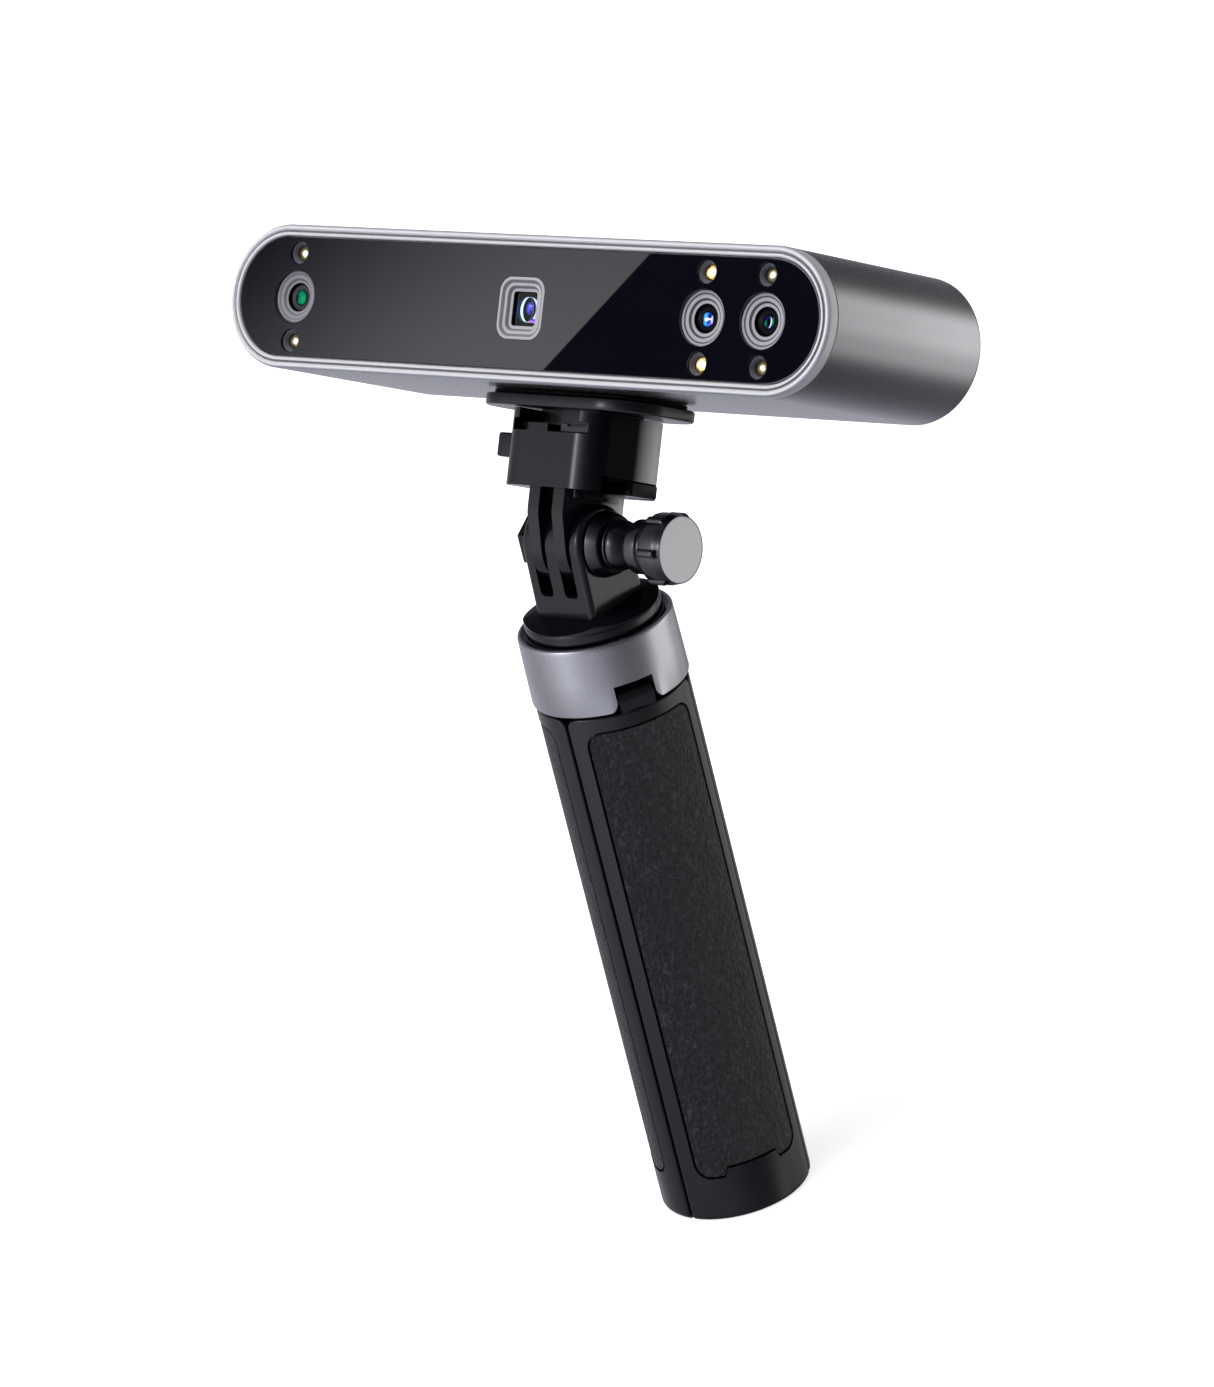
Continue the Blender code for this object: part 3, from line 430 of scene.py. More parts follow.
# name, colour (None: set by its own function), roughness, specular level, grain in mm,
# relief, tone variation
PLASTICS = (
    ('clamp_black_painted_band', None, 0.17, 0.55, 0.3, 0.012, 0.15),
    ('prong_black', (0.003, 0.003, 0.005), 0.15, 0.5, 0.28, 0.008, 0.15),
    ('plate_black', (0.004, 0.004, 0.006), 0.22, 0.5, 0.3, 0.03, 0.15),
    ('knob_black', (0.003, 0.003, 0.005), 0.19, 1.0, 0.3, 0.01, 0.15),
    ('leg_charcoal', (0.005, 0.005, 0.007), 0.28, 0.5, 0.26, 0.05, 0.15),
    ('lock_black', (0.002, 0.002, 0.003), 0.2, 0.08, 0.3, 0.02, 0.15),
    ('hub_black', (0.004, 0.004, 0.006), 0.3, 0.4, 0.3, 0.1, 0.15),
    ('knob_face_grey', (0.74, 0.74, 0.74), 0.5, 0.3, 0.35, 0.05, 0.03),
    ('module_black', (0.008, 0.008, 0.009), 0.5, 0.4, 0.3, 0.2, 0.15),
    ('rear_cover_black', (0.03, 0.03, 0.032), 0.45, 0.45, 0.4, 0.35, 0.15),
    ('button_black', (0.03, 0.03, 0.032), 0.38, 0.5, 0.3, 0.25, 0.15),
    # near-black rubber, made this dark also as painted shadow for the gap between plate and body
    ('pad_rubber_shadow', (0.004, 0.004, 0.004), 0.75, 0.12, 0.5, 0.3, 0.15),
    ('catch_grey', (0.06, 0.06, 0.062), 0.4, 0.5, 0.3, 0.2, 0.15),
)


def tone_patches(shader, coords, scale, colour, vary):
    """Base colour that drifts a little lighter and darker."""
    patches = shader.noise(coords, scale=scale, detail=3.0, roughness=0.5)
    dark = tuple(c * (1 - vary) for c in colour)
    light = tuple(c * (1 + vary) for c in colour)
    shader.surface({'Base Color': shader.ramp(patches, [(0.35, dark), (0.65, light)])})


def grain_finish(shader, grain, roughness, relief, depth):
    """Gloss and relief that follow the grain."""
    gloss = shader.remap(grain, (0.3, 0.7), (roughness - 0.02, roughness + 0.03))
    shader.surface({'Roughness': gloss})
    shader.bump(grain, relief, depth)


def metal(name, colour, roughness, grain, relief, vary):
    shader = new_material(name)
    coords = shader.coords()
    tone_patches(shader, coords, 60.0, colour, vary)
    shader.surface({'Metallic': 1.0})
    if isinstance(grain, tuple):
        marks = shader.noise(shader.coords(grain), scale=1.0, detail=3.0, roughness=0.7)
    else:
        marks = shader.noise(coords, scale=1.0 / (grain * MM), detail=2.0, roughness=0.6)
    grain_finish(shader, marks, roughness, relief, depth=0.00002)


def plastic(name, colour, roughness, specular, grain, relief, vary):
    shader = new_material(name)
    coords = shader.coords()
    if colour:
        tone_patches(shader, coords, 45.0, colour, vary)
    marks = shader.noise(coords, scale=1.0 / (grain * MM), detail=3.0, roughness=0.65)
    shader.surface({'Specular IOR Level': specular})
    grain_finish(shader, marks, roughness, relief, depth=0.00003)


def clamp_painted_light():
    """Painted light on the clamp: on its +x faces the specular is dimmed as painted shade toward
    the front and raised toward the back, where a painted highlight band lifts the base colour to
    light grey; the rest stays near black.
    """
    shader = Shader(MATERIALS['clamp_black_painted_band'])
    sideways = shader.remap(shader.normal('X'), (0.55, 0.9))
    along = shader.vector('DOT_PRODUCT', shader.coords(), FRONT_AXES['d'])
    y = shader.plus(shader.times(along, 1.0 / MM), PIVOT_Z * LEAN_SIN)    # head frame, mm
    # painted shade and sheen: on the +x faces the specular is nearly off toward the front and
    # raised in a band toward the back
    shine = shader.times(shader.remap(y, (1.5, 8.0), (0.02, 1.9)),
                         shader.remap(y, (8.5, 12.0), (1.0, 0.35)))
    level = shader.plus(shader.times(shine, sideways), shader.minus(1.0, sideways))
    # painted highlight: the +x faces turn light grey in a band from about 1 to 12 mm along y
    light = shader.times(shader.remap(y, (1.0, 7.5)),
                         shader.remap(y, (8.5, 12.5), (1.0, 0.3)), sideways)
    shader.surface({
        'Specular IOR Level': shader.times(level, 0.5),
        'Base Color': shader.blend(light, (0.0045, 0.0045, 0.0065, 1), (0.46, 0.46, 0.466, 1))})


def dim_facing(name, axis, span, levels):
    """Near-field shade: faces toward this axis look at the dark side of the next piece."""
    shader = Shader(MATERIALS[name])
    shader.surface({'Specular IOR Level': shader.remap(shader.normal(axis), span, levels)})


def leg_shading():
    """The legs shine more toward the top as painted light: their specular level rises with height,
    standing for the light falling off down their length; span in metres above the floor.
    """
    shader = Shader(MATERIALS['leg_charcoal'])
    height = shader.component(shader.coords(), 'Z')
    shader.surface({'Specular IOR Level': shader.remap(height, (0.0, 0.105), (0.30, 0.52))})


def shell_painted_light():
    """Painted light: the base colour is lowered at the front of the tube and raised toward the
    back, standing for the highlight that brightens toward the back; span in mm of depth.
    """
    shader = Shader(MATERIALS['shell_anodised'])
    base = shader.tree.nodes['Principled BSDF'].inputs['Base Color'].links[0].from_socket
    depth = shader.front_coords(0.0, BODY_Z, 'd')[1]
    painted_light_gain = shader.remap(depth, (3.0, 42.0), (0.86, 1.24))
    shader.surface({'Base Color': shader.vector('SCALE', base, painted_light_gain)})


# ------------------------------------------------------------------ special materials
def leather():
    """Dark synthetic leather: pebbled, slightly streaked grain with fine glints."""
    shader = new_material('grip_leather')
    coords = shader.coords((1, 1, 0.72))
    warp = shader.noise(coords, scale=420.0, detail=3.0, roughness=0.6, output='Color')
    warped = shader.add('MixRGB', {'Fac': 0.0012, 'Color1': coords, 'Color2': warp},
                        blend_type='ADD')
    pebbles = shader.add('TexVoronoi', {'Scale': 1250.0, 'Smoothness': 0.35,
                                        'Vector': warped.outputs['Color']}, feature='SMOOTH_F1')
    medium = shader.noise(coords, scale=950.0, detail=5.0, roughness=0.62, distortion=0.8)
    fine = shader.noise(coords, scale=4200.0, detail=3.0, roughness=0.7)
    height = shader.plus(shader.times(shader.minus(1.0, pebbles.outputs['Distance']), 0.55),
                         shader.times(medium, 1.1), shader.times(fine, 0.25))
    shader.surface({
        'Base Color': shader.ramp(medium, [(0.36, (0.003, 0.003, 0.004)),
                                           (0.54, (0.0065, 0.0065, 0.008)),
                                           (0.68, (0.036, 0.036, 0.041))]),
        'Roughness': shader.remap(fine, (0.35, 0.65), (0.26, 0.46)),
        'Specular IOR Level': 0.5})
    shader.bump(height, strength=1.0, distance=0.0008)


# inset from the body outline times 0.4, colour: silver with painted highlights on the rounded
# crests and painted shade on the outer edge, in the line between the crests and at the inner edge
BEZEL_PAINTED_BANDS = (
    (0.0, (0.36, 0.37, 0.42)), (0.10, (0.40, 0.41, 0.46)), (0.17, (0.74, 0.74, 0.742)),
    (0.44, (0.79, 0.79, 0.785)), (0.49, (0.17, 0.17, 0.18)), (0.62, (0.13, 0.13, 0.14)),
    (0.67, (0.66, 0.66, 0.66)), (0.88, (0.77, 0.77, 0.765)), (0.93, (0.50, 0.50, 0.52)),
    (0.97, (0.05, 0.05, 0.06)))


def bezel_silver():
    """Satin silver with painted light: painted highlights on the rounded bands, painted shade in
    the darker line between them and a greyer flank that is painted shade.
    """
    shader = new_material('bezel_silver')
    position, u, w, depth = shader.front_coords(0.0, BODY_Z, 'uwd')
    fine = shader.noise(position, scale=2500.0, detail=2.0, roughness=0.6)
    inset = shader.plus(shader.body_inset(u, w), shader.remap(fine, (0.3, 0.7), (-0.02, 0.02)))
    bands = shader.ramp(shader.times(inset, 0.4), BEZEL_PAINTED_BANDS)
    # painted shade: the flank behind the front is blended to a darker grey
    flank = shader.remap(depth, (0.1, 0.3))
    shader.surface({'Base Color': shader.blend(flank, bands, (0.52, 0.52, 0.525, 1)),
                    'Metallic': 0.25,
                    'Roughness': shader.remap(fine, (0.3, 0.7), (0.33, 0.38))})


def window_gloss():
    """Polished dark panel with a painted highlight: its inner edge is painted lighter grey at the
    +x end.
    """
    shader = new_material('window_gloss')
    position, u, w = shader.front_coords(0.0, BODY_Z, 'uw')
    patches = shader.noise(position, scale=25.0, detail=2.0, roughness=0.5)
    base = shader.ramp(patches, [(0.3, (0.0030, 0.0030, 0.0062)),
                                 (0.7, (0.0038, 0.0038, 0.0072))])
    # painted highlight along the edge chamfer at the +x end
    edge = shader.times(shader.remap(shader.body_inset(u, w), (2.80, 2.70)),
                        shader.remap(u, (60.0, 66.0)))
    shader.surface({'Base Color': shader.blend(edge, base, (0.16, 0.16, 0.18, 1)),
                    'Roughness': 0.004, 'Specular IOR Level': 0.55})


def ring_painted_light(name, x, lips, light, dark, black_depth):
    """Stepped grey funnel with painted light: painted highlights on the lips at given depths,
    painted shade on the walls between, black past them.
    """
    shader = new_material(name)
    position, depth = shader.front_coords(x, BODY_Z, 'd')
    fine = shader.noise(position, scale=3500.0, detail=3.0, roughness=0.6)
    stops = []
    for lip in lips:
        stops += [(lip - 0.08, dark), (lip - 0.03, light), (lip + 0.03, light), (lip + 0.08, dark)]
    stops += [(black_depth, dark), (black_depth + 0.08, (0.002, 0.002, 0.003))]
    start, span = 0.3, 2.4        # the ramp covers this span from start in front of the plane
    stops = [((t + start) / span, colour) for t, colour in stops]
    along = shader.times(shader.plus(depth, start), 1.0 / span)
    shader.surface({'Base Color': shader.ramp(along, stops),
                    'Roughness': shader.remap(fine, (0.3, 0.7), (0.45, 0.55)),
                    'Specular IOR Level': 0.08})


# Painted reflections of each lens: coating glints, highlights and the dark rings around them,
# painted as emissive patches in order:
# centre, half sizes, softness, colour, cover, optional cut-out (centre, half sizes)
CAMERA_PAINTED_REFLECTIONS = (
    (((0, 0), (2.45, 2.5), 0.05, (0.040, 0.040, 0.042), 1),
     ((0, 0), (1.62, 1.66), 0.12, (0.001, 0.001, 0.002), 1),
     ((0.08, 0), (1.22, 1.38), 0.3, (0.0, 0.19, 0.10), 1),
     ((0.5, -0.3), (0.6, 0.8), 0.7, (0.01, 0.30, 0.08), 0.8),
     ((-0.95, 0), (0.4, 0.8), 0.6, (0.002, 0.003, 0.035), 0.8)),
    (((0, 0), (2.3, 2.3), 0.1, (0.006, 0.006, 0.007), 1),
     ((0, 0), (1.55, 1.6), 0.15, (0.001, 0.001, 0.002), 1),
     ((-0.05, -0.1), (1.18, 1.32), 0.15, (0.012, 0.14, 0.80), 1),
     ((-0.55, 0.5), (0.6, 0.7), 0.7, (0.06, 0.42, 1.0), 0.9),
     ((-0.6, -0.8), (0.5, 0.5), 0.7, (0.05, 0.38, 1.0), 0.9),
     ((0.35, 0.6), (0.55, 0.42), 0.5, (0.005, 0.008, 0.12), 1),
     ((0.15, -0.6), (0.42, 0.3), 0.6, (0.01, 0.015, 0.16), 1),
     ((0.45, -0.95), (0.35, 0.25), 0.6, (0.25, 0.08, 0.6), 0.9),
     ((0.95, -0.1), (0.24, 0.75), 0.7, (0.80, 0.70, 1.0), 0.9),
     ((0.35, 0.0), (0.55, 0.17), 0.6, (0.95, 0.92, 1.0), 1),
     ((-0.35, -0.1), (0.52, 0.4), 0.6, (1.0, 1.0, 1.0), 1)),
    (((0, 0), (2.3, 2.3), 0.1, (0.006, 0.006, 0.007), 1),
     ((0, 0), (1.55, 1.6), 0.15, (0.001, 0.001, 0.002), 1),
     ((0, 0), (1.2, 1.35), 0.25, (0.003, 0.004, 0.02), 1),
     ((0, 0.75), (0.6, 0.45), 0.7, (0.01, 0.01, 0.13), 1),
     ((0.15, -0.9), (0.45, 0.38), 0.7, (0.01, 0.02, 0.18), 1),
     ((-0.6, -0.25), (0.36, 0.6), 0.6, (0.0, 0.15, 0.085), 1),
     ((0, -0.05), (0.33, 0.95), 0.4, (0.0, 0.0, 0.0), 1),
     ((1.0, 0.15), (0.28, 0.8), 0.6, (0.01, 0.20, 0.12), 1),
     ((0.25, 0), (0.58, 1.05), 0.14, (0.65, 0.85, 1.0), 1, ((0.05, 0.1), (0.52, 1.12)))),
)
PROJECTOR_PAINTED_REFLECTIONS = (
    ((-3.4, 0), (0.8, 5.0), 0.7, (0.030, 0.045, 0.105), 1),
    ((0, 0), (2.52, 2.52), 0.03, (0.10, 0.22, 0.42), 1),
    ((0, 0), (2.40, 2.42), 0.04, (0.015, 0.015, 0.013), 1),
    ((-0.05, 0), (1.72, 2.42), 0.04, (0.16, 0.24, 0.42), 1, ((-0.05, 0), (1.62, 2.36))),
    ((0.75, 0.25), (0.85, 1.15), 0.8, (0.10, 0.10, 0.72), 1),
    ((1.05, -0.35), (0.3, 0.42), 0.7, (0.03, 0.03, 0.10), 0.9),
    ((0.85, 0.72), (0.5, 0.26), 0.7, (0.26, 0.28, 0.95), 0.9),
    ((0, 0), (1.70, 2.44), 0.05, (0.62, 0.82, 1.0), 1, ((0.55, 0), (1.52, 2.48))),
    ((0.15, 0), (2.52, 2.52), 0.05, (0.66, 0.76, 1.0), 1, ((-0.22, 0.05), (2.42, 2.55))),
    ((2.3, 1.8), (0.6, 0.26), 0.5, (0.6, 0.8, 1.0), 1),
    ((1.6, -1.95), (0.55, 0.24), 0.6, (0.06, 0.03, 0.6), 1),
    ((1.5, -2.32), (0.9, 0.24), 0.5, (0.50, 0.15, 0.80), 1),
)


def lens_painted_reflections(name, x, patches, dark):
    """Near-black glass with painted reflections: soft emissive patches and crescents stand for its
    coating glints and highlights.
    """
    shader = new_material(name)
    position, u, w = shader.front_coords(x, BODY_Z, 'uw')
    wobble = shader.noise(position, scale=1400.0, detail=2.0, roughness=0.5)
    painted_lens_colour = (*dark, 1)
    for centre, half, soft, colour, cover, *hole in patches:
        reach = shader.radius(u, w, centre, (1.0 / half[0], 1.0 / half[1]))
        if soft > 0.2:
            reach = shader.plus(reach, shader.remap(wobble, (0.3, 0.7), (-0.06, 0.06)))
        mask = shader.remap(reach, (1.0 + soft * 0.3, 1.0 - soft * 0.7), (0.0, cover))
        if hole:
            centre, half = hole[0]
            reach = shader.radius(u, w, centre, (1.0 / half[0], 1.0 / half[1]))
            mask = shader.times(mask, shader.remap(reach, (0.985, 1.03)))
        painted_lens_colour = shader.blend(mask, painted_lens_colour, (*colour, 1))
    # painted reflections: the patches are given off as emission
    shader.surface({'Base Color': (0.001, 0.001, 0.0015, 1), 'Roughness': 0.05,
                    'Specular IOR Level': 0.02, 'Emission Color': painted_lens_colour,
                    'Emission Strength': 1.3})


# radius from the glowing middle divided by 2 mm, colour
WIDE_GLOW = ((0.0, (0.98, 0.96, 0.84)), (0.38, (0.95, 0.88, 0.62)), (0.52, (0.86, 0.66, 0.26)),
             (0.66, (0.50, 0.28, 0.05)), (0.76, (0.05, 0.03, 0.012)))
SMALL_GLOW = ((0.0, (1.0, 0.99, 0.94)), (0.24, (0.92, 0.88, 0.74)), (0.34, (0.30, 0.24, 0.12)),
              (0.46, (0.10, 0.085, 0.035)), (0.66, (0.045, 0.036, 0.014)),
              (0.76, (0.015, 0.012, 0.006)))


def lamp(name, x, z, wide):
    """Phosphor dome: warm mottled centre, amber rim."""
    shader = new_material(name)
    position, u, w = shader.front_coords(x, z, 'uw')
    mottle = shader.noise(position, scale=1300.0, detail=2.0, roughness=0.6)
    wobble = shader.remap(mottle, (0.3, 0.7), (-0.3, 0.3))
    if wide:
        centre, stops, strength = (0.2, 0.1), WIDE_GLOW, 0.46
    else:
        centre, stops, strength = (0.3, 0.05), SMALL_GLOW, 0.56
        wobble = shader.times(wobble, 0.6)
    reach = shader.times(shader.plus(shader.radius(u, w, centre), wobble), 0.5)
    colour = shader.ramp(reach, stops)
    shader.surface({'Base Color': colour, 'Emission Color': colour,
                    'Emission Strength': strength, 'Roughness': 0.25,
                    'Specular IOR Level': 0.3})


def lamp_cup():
    shader = new_material('led_cup')
    fine = shader.noise(shader.coords(), scale=2500.0, detail=2.0, roughness=0.5)
    shader.surface({'Base Color': shader.ramp(fine, [(0.3, (0.105, 0.105, 0.122)),
                                                     (0.7, (0.130, 0.130, 0.148))]),
                    'Roughness': 0.45, 'Specular IOR Level': 0.3})


def solder_mask():
    shader = new_material('solder_mask')
    tracks = shader.add('TexBrick', {'Scale': 300.0, 'Color1': (0.01, 0.11, 0.045, 1),
                                     'Color2': (0.012, 0.09, 0.04, 1),
                                     'Mortar': (0.02, 0.18, 0.07, 1),
                                     'Vector': shader.coords()})
    shader.surface({'Base Color': tracks.outputs['Color'], 'Roughness': 0.35})


def make_materials():
    for row in METALS:
        metal(*row)
    for row in PLASTICS:
        plastic(*row)
    clamp_painted_light()
    dim_facing('knob_black', 'X', span=(0.14, 0.6), levels=(1.0, 1.0 * 0.04))
    dim_facing('prong_black', 'Z', span=(0.80, 0.955), levels=(0.5, 0.5 * 0.03))
    leg_shading()
    leather()
    bezel_silver()
    shell_painted_light()
    window_gloss()
    lamp_cup()
    lamp('light_pipe', STATUS_X, BODY_Z, wide=True)
    solder_mask()


# ------------------------------------------------------------------ scanner
# inset from the body outline, depth behind the front plane
BEZEL = (
    (0.0, 2.15), (0.0, 0.32), (0.06, 0.1), (0.16, -0.08), (0.28, -0.26), (0.40, -0.40),
    (0.55, -0.48), (0.72, -0.5), (0.86, -0.46), (0.98, -0.36), (1.08, -0.22), (1.16, -0.12),
    (1.26, -0.09), (1.36, -0.12), (1.46, -0.22), (1.58, -0.33), (1.72, -0.39), (1.88, -0.40),
    (2.02, -0.36), (2.14, -0.26), (2.24, -0.12), (2.3, 0.06), (2.3, 1.4), (3.4, 1.4),
    (3.4, 4.2), (2.05, 4.2), (2.05, 2.3), (0.3, 2.3), (0.15, 2.15))
SHELL_FRONT, SHELL_EDGE_R = 2.25, 1.2
SCREW_REACH = 9.6           # rear screws, from the centre of each round end
SCREWS = [(sx * (BODY_W / 2 - BODY_R + SCREW_REACH * cos(radians(50.0))),
           BODY_Z + sz * SCREW_REACH * sin(radians(50.0))) for sx in (1, -1) for sz in (1, -1)]
# half x, half z, corner radius, depth
PROJECTOR_RING = (
    (5.69, 6.09, 2.95, 1.45), (5.69, 6.09, 2.95, 0.08), (5.66, 6.06, 2.92, 0.03),
    (5.58, 5.98, 2.86, 0.0), (5.2, 5.62, 2.6, 0.0), (5.12, 5.54, 2.55, 0.03),
    (5.06, 5.48, 2.5, 0.09), (4.62, 5.0, 2.2, 0.42), (4.56, 4.94, 2.15, 0.48),
    (4.48, 4.87, 2.1, 0.5), (4.1, 4.5, 1.8, 0.5), (4.02, 4.42, 1.75, 0.53),
    (3.97, 4.37, 1.7, 0.59), (3.6, 3.98, 1.4, 1.06), (3.54, 3.92, 1.3, 1.12),
    (3.46, 3.84, 1.2, 1.14), (3.1, 3.46, 0.75, 1.14), (3.02, 3.38, 0.65, 1.17),
    (2.97, 3.33, 0.6, 1.25), (2.97, 3.33, 0.6, 2.4), (7.0, 7.0, 3.4, 2.4), (7.0, 7.0, 3.4, 1.45))
# radius for a rim of 5.42, depth
CAMERA_FUNNEL = (
    (5.02, 0.70), (4.94, 0.72), (4.88, 0.76), (4.56, 0.90), (4.48, 0.94), (4.42, 0.95),
    (4.0, 0.95), (3.92, 0.97), (3.87, 1.02), (3.50, 1.30), (3.44, 1.36), (3.38, 1.38))


def bezel():
    ob = loft('bezel_ring', [body_ring(d, t) for d, t in BEZEL], closed=True)
    place(ob, 'bezel_silver', 'scanner', 'front_bezel', smooth=50)


def shell():
    """Tube with a rounded back edge and an inward rib that carries the screws."""
    front, back, r = SHELL_FRONT, SHELL_BACK, SHELL_EDGE_R
    stations = [(0.22, front), (0.06, front + 0.06), (0.0, front + 0.22), (0.0, front + 0.3),
                (0.0, front + 0.42), (0.0, 12.0), (0.0, 24.0), (0.0, 36.0), (0.0, back - 1.5),
                (0.0, back - 1.3)]
    stations += [(r - r * cos(radians(a)), back - r + r * sin(radians(a)))
                 for a in range(0, 91, 15)]
    stations += [(WALL, back), (WALL, 44.7), (7.4, 44.7), (7.4, 41.0), (WALL, 41.0),
                 (WALL, 4.3), (0.45, 4.3), (0.45, 2.45)]
    ob = loft('shell_skin', [body_ring(d, t) for d, t in stations], closed=True)
    cut(ob, rod(4.9, 27, 31.5, 48))
    for x, z in SCREWS:
        cut(ob, face_turned('tool', rod_profile(1.1, 40, 45.4), 20, x, z))
    place(ob, 'shell_anodised', 'scanner', 'body_shell', smooth=40)


def chamfered_hole(radius, chamfer, steps, x, z=BODY_Z):
    return face_turned('tool', [(0, -1), (radius + chamfer, -1), (radius + chamfer, 0.0),
                                (radius, chamfer), (radius, 3), (0, 3)], steps, x, z)


def window():
    ob = loft('window_panel', [body_ring(2.55 + d, t) for d, t in
                               ((0.12, 0.0), (0.0, 0.1), (0.0, 1.1))])
    for x, hole_r in CAMERAS:
        cut(ob, chamfered_hole(hole_r, 0.1, 72, x))
        for side in (1, -1):
            cut(ob, chamfered_hole(2.3, 0.08, 40, x, BODY_Z + side * LED_PITCH))
    cut(ob, face_slab('tool', (5.72, 6.12, 2.97), 14,
                      ((-0.06, -1), (-0.06, 0.0), (0.0, 0.06), (0.0, 3))))
    place(ob, 'window_gloss', 'scanner', 'front_window', smooth=25)


def camera(number, x, hole_r):
    """Stepped ring and domed lens in one window hole."""
    rim = hole_r - 0.03
    scale = rim / 5.42
    profile = [(rim, 1.6), (rim, 0.76), (rim - 0.06, 0.71), (rim - 0.12, 0.70)]
    profile += [(r * scale, t) for r, t in CAMERA_FUNNEL]
    profile += [(2.98, 1.38), (2.91, 1.41), (2.88, 1.47), (2.88, 2.4), (6.2, 2.4), (6.2, 1.6)]
    # painted light: camera 1's ring gets lower-contrast painted highlight and shade than the rings
    # of cameras 2 and 3
    if number == 1:
        light, dark = (0.25, 0.25, 0.265), (0.17, 0.17, 0.185)
    else:
        light, dark = (0.38, 0.38, 0.40), (0.085, 0.085, 0.10)
    tone = 'camera_ring_tone_%d' % number
    ring_painted_light(tone, x, (0.70, 0.95, 1.38), light, dark, black_depth=1.46)
    place(face_turned('camera_ring_%d' % number, profile, 96, x), tone, 'scanner',
          'camera_baffle_%d' % number, smooth=40)
    glass = dome(1.6, 2.0, 0.25, range(10, 91, 10))
    glass += [(1.65, 2.28), (2.6, 2.1), (2.7, 2.2), (2.7, 3.4), (0, 3.4)]
    coating = 'lens_coating_%d' % number
    lens_painted_reflections(coating, x, CAMERA_PAINTED_REFLECTIONS[number - 1], dark=(0.001, 0.001, 0.001))
    place(face_turned('camera_glass_%d' % number, glass, 64, x), coating, 'scanner',
          'camera_lens_%d' % number, smooth=40)


def camera_lamps(number, x):
    """A lamp in a cup above (a) and below (b) the camera."""
    cup_profile = [(2.27, 3.0), (2.27, 0.64), (2.22, 0.59), (2.14, 0.58), (2.06, 0.62),
                   (1.7, 1.26), (1.63, 1.4), (1.6, 1.6), (1.6, 1.95), (0.0, 1.95), (0.0, 3.0)]
    lamp_profile = dome(1.52, 1.4, 0.5, range(12, 91, 13)) + [(1.52, 2.3), (0, 2.3)]
    for letter, side in (('a', 1), ('b', -1)):
        z = BODY_Z + side * LED_PITCH
        tag = '%d%s' % (number, letter)
        cup = face_turned('led_cup_' + tag, cup_profile, 56, x, z)
        place(cup, 'led_cup', 'scanner')
        lamp('led_' + tag, x, z, wide=number == 2)
        place(face_turned('led_dome_' + tag, lamp_profile, 40, x, z), 'led_' + tag, 'scanner',
              'led_' + tag)


def projector():
    # painted light: highlight on the projector ring's lips, painted shade on its walls
    ring_painted_light('projector_ring_tone', 0.0, (0.0, 0.5, 1.14), (0.42, 0.42, 0.43),
              (0.19, 0.19, 0.205), black_depth=1.25)
    rings = [ring(rounded_box(half_x, half_z, r, 14), behind(t), 'y', (0.0, BODY_Z))
             for half_x, half_z, r, t in PROJECTOR_RING]
    place(loft('projector_ring', rings, closed=True), 'projector_ring_tone', 'scanner',
          'projector_baffle', smooth=40)
    glass = dome(2.5, 1.95, 0.3, range(9, 91, 9))
    glass += [(2.55, 2.45), (4.7, 2.45), (4.7, 3.5), (0, 3.5)]
    lens_painted_reflections('lens_coating_p', 0.0, PROJECTOR_PAINTED_REFLECTIONS, dark=(0.018, 0.018, 0.015))
    place(face_turned('projector_glass', glass, 64, 0), 'lens_coating_p', 'scanner',
          'projector_lens', smooth=40)


def rear_cover():
    """Back panel with holes for screws, button, status light and cable socket."""
    ob = loft('rear_panel', [body_ring(d, t) for d, t in (
        (2.1, 45.0), (2.1, 46.45), (2.16, 46.65), (2.3, 46.77), (2.45, 46.8))])
    for x, z in SCREWS:
        cut(ob, face_turned('tool', [(0, 44), (1.1, 44), (1.1, 45.7), (2.0, 45.7), (2.0, 46.65),
                                     (2.15, 46.8), (2.15, 48), (0, 48)], 36, x, z))
    cut(ob,
        face_turned('tool', [(0, 44), (4.3, 44), (4.3, 46.5), (4.6, 46.8), (4.6, 48), (0, 48)],
                    56, 0),
        face_turned('tool', rod_profile(1.1, 44, 48), 24, STATUS_X),
        face_slab('tool', (4.75, 1.9, 1.8), 8, ((0, 44), (0, 46.55), (-0.25, 46.8), (-0.25, 48)),
                  SOCKET_X))
    place(ob, 'rear_cover_black', 'scanner', 'rear_cover', smooth=30)


def rear_screws():
    profile = [(0, 46.65), (1.1, 46.65), (1.45, 46.6), (1.62, 46.45), (1.7, 46.25), (1.7, 46.0),
               (0.8, 46.0), (0.8, 41.5), (0, 41.3)]
    for i, (x, z) in enumerate(SCREWS, 1):
        ob = face_turned('cover_screw_%d' % i, profile, 32, x, z)
        for half_x, half_z in ((0.95, 0.2), (0.2, 0.95)):      # cross slot
            cut(ob, box('tool', (x - half_x, x + half_x), (behind(46.2), behind(47)),
                        (z - half_z, z + half_z)))
        place(ob, 'plain_steel', 'scanner', 'rear_screw_%d' % i, smooth=30)


def cable_socket():
    """Hollow socket with a flat tongue left in the middle."""
    ob = face_slab('cable_socket', (4.45, 1.6, 1.5), 8, ((0, 38.0), (0, 46.5), (0.08, 46.6)),
                   SOCKET_X)
    cavity = face_slab('tool', (4.15, 1.3, 1.2), 8, ((0, 40.5), (0, 48.0)), SOCKET_X)
    cut(cavity, box('tool', (-25.1, -18.9), (behind(38), behind(45.9)),
                    (BODY_Z - 0.35, BODY_Z + 0.35)))
    cut(ob, cavity)
    place(ob, 'plain_steel', 'scanner', 'usb_port', smooth=30)


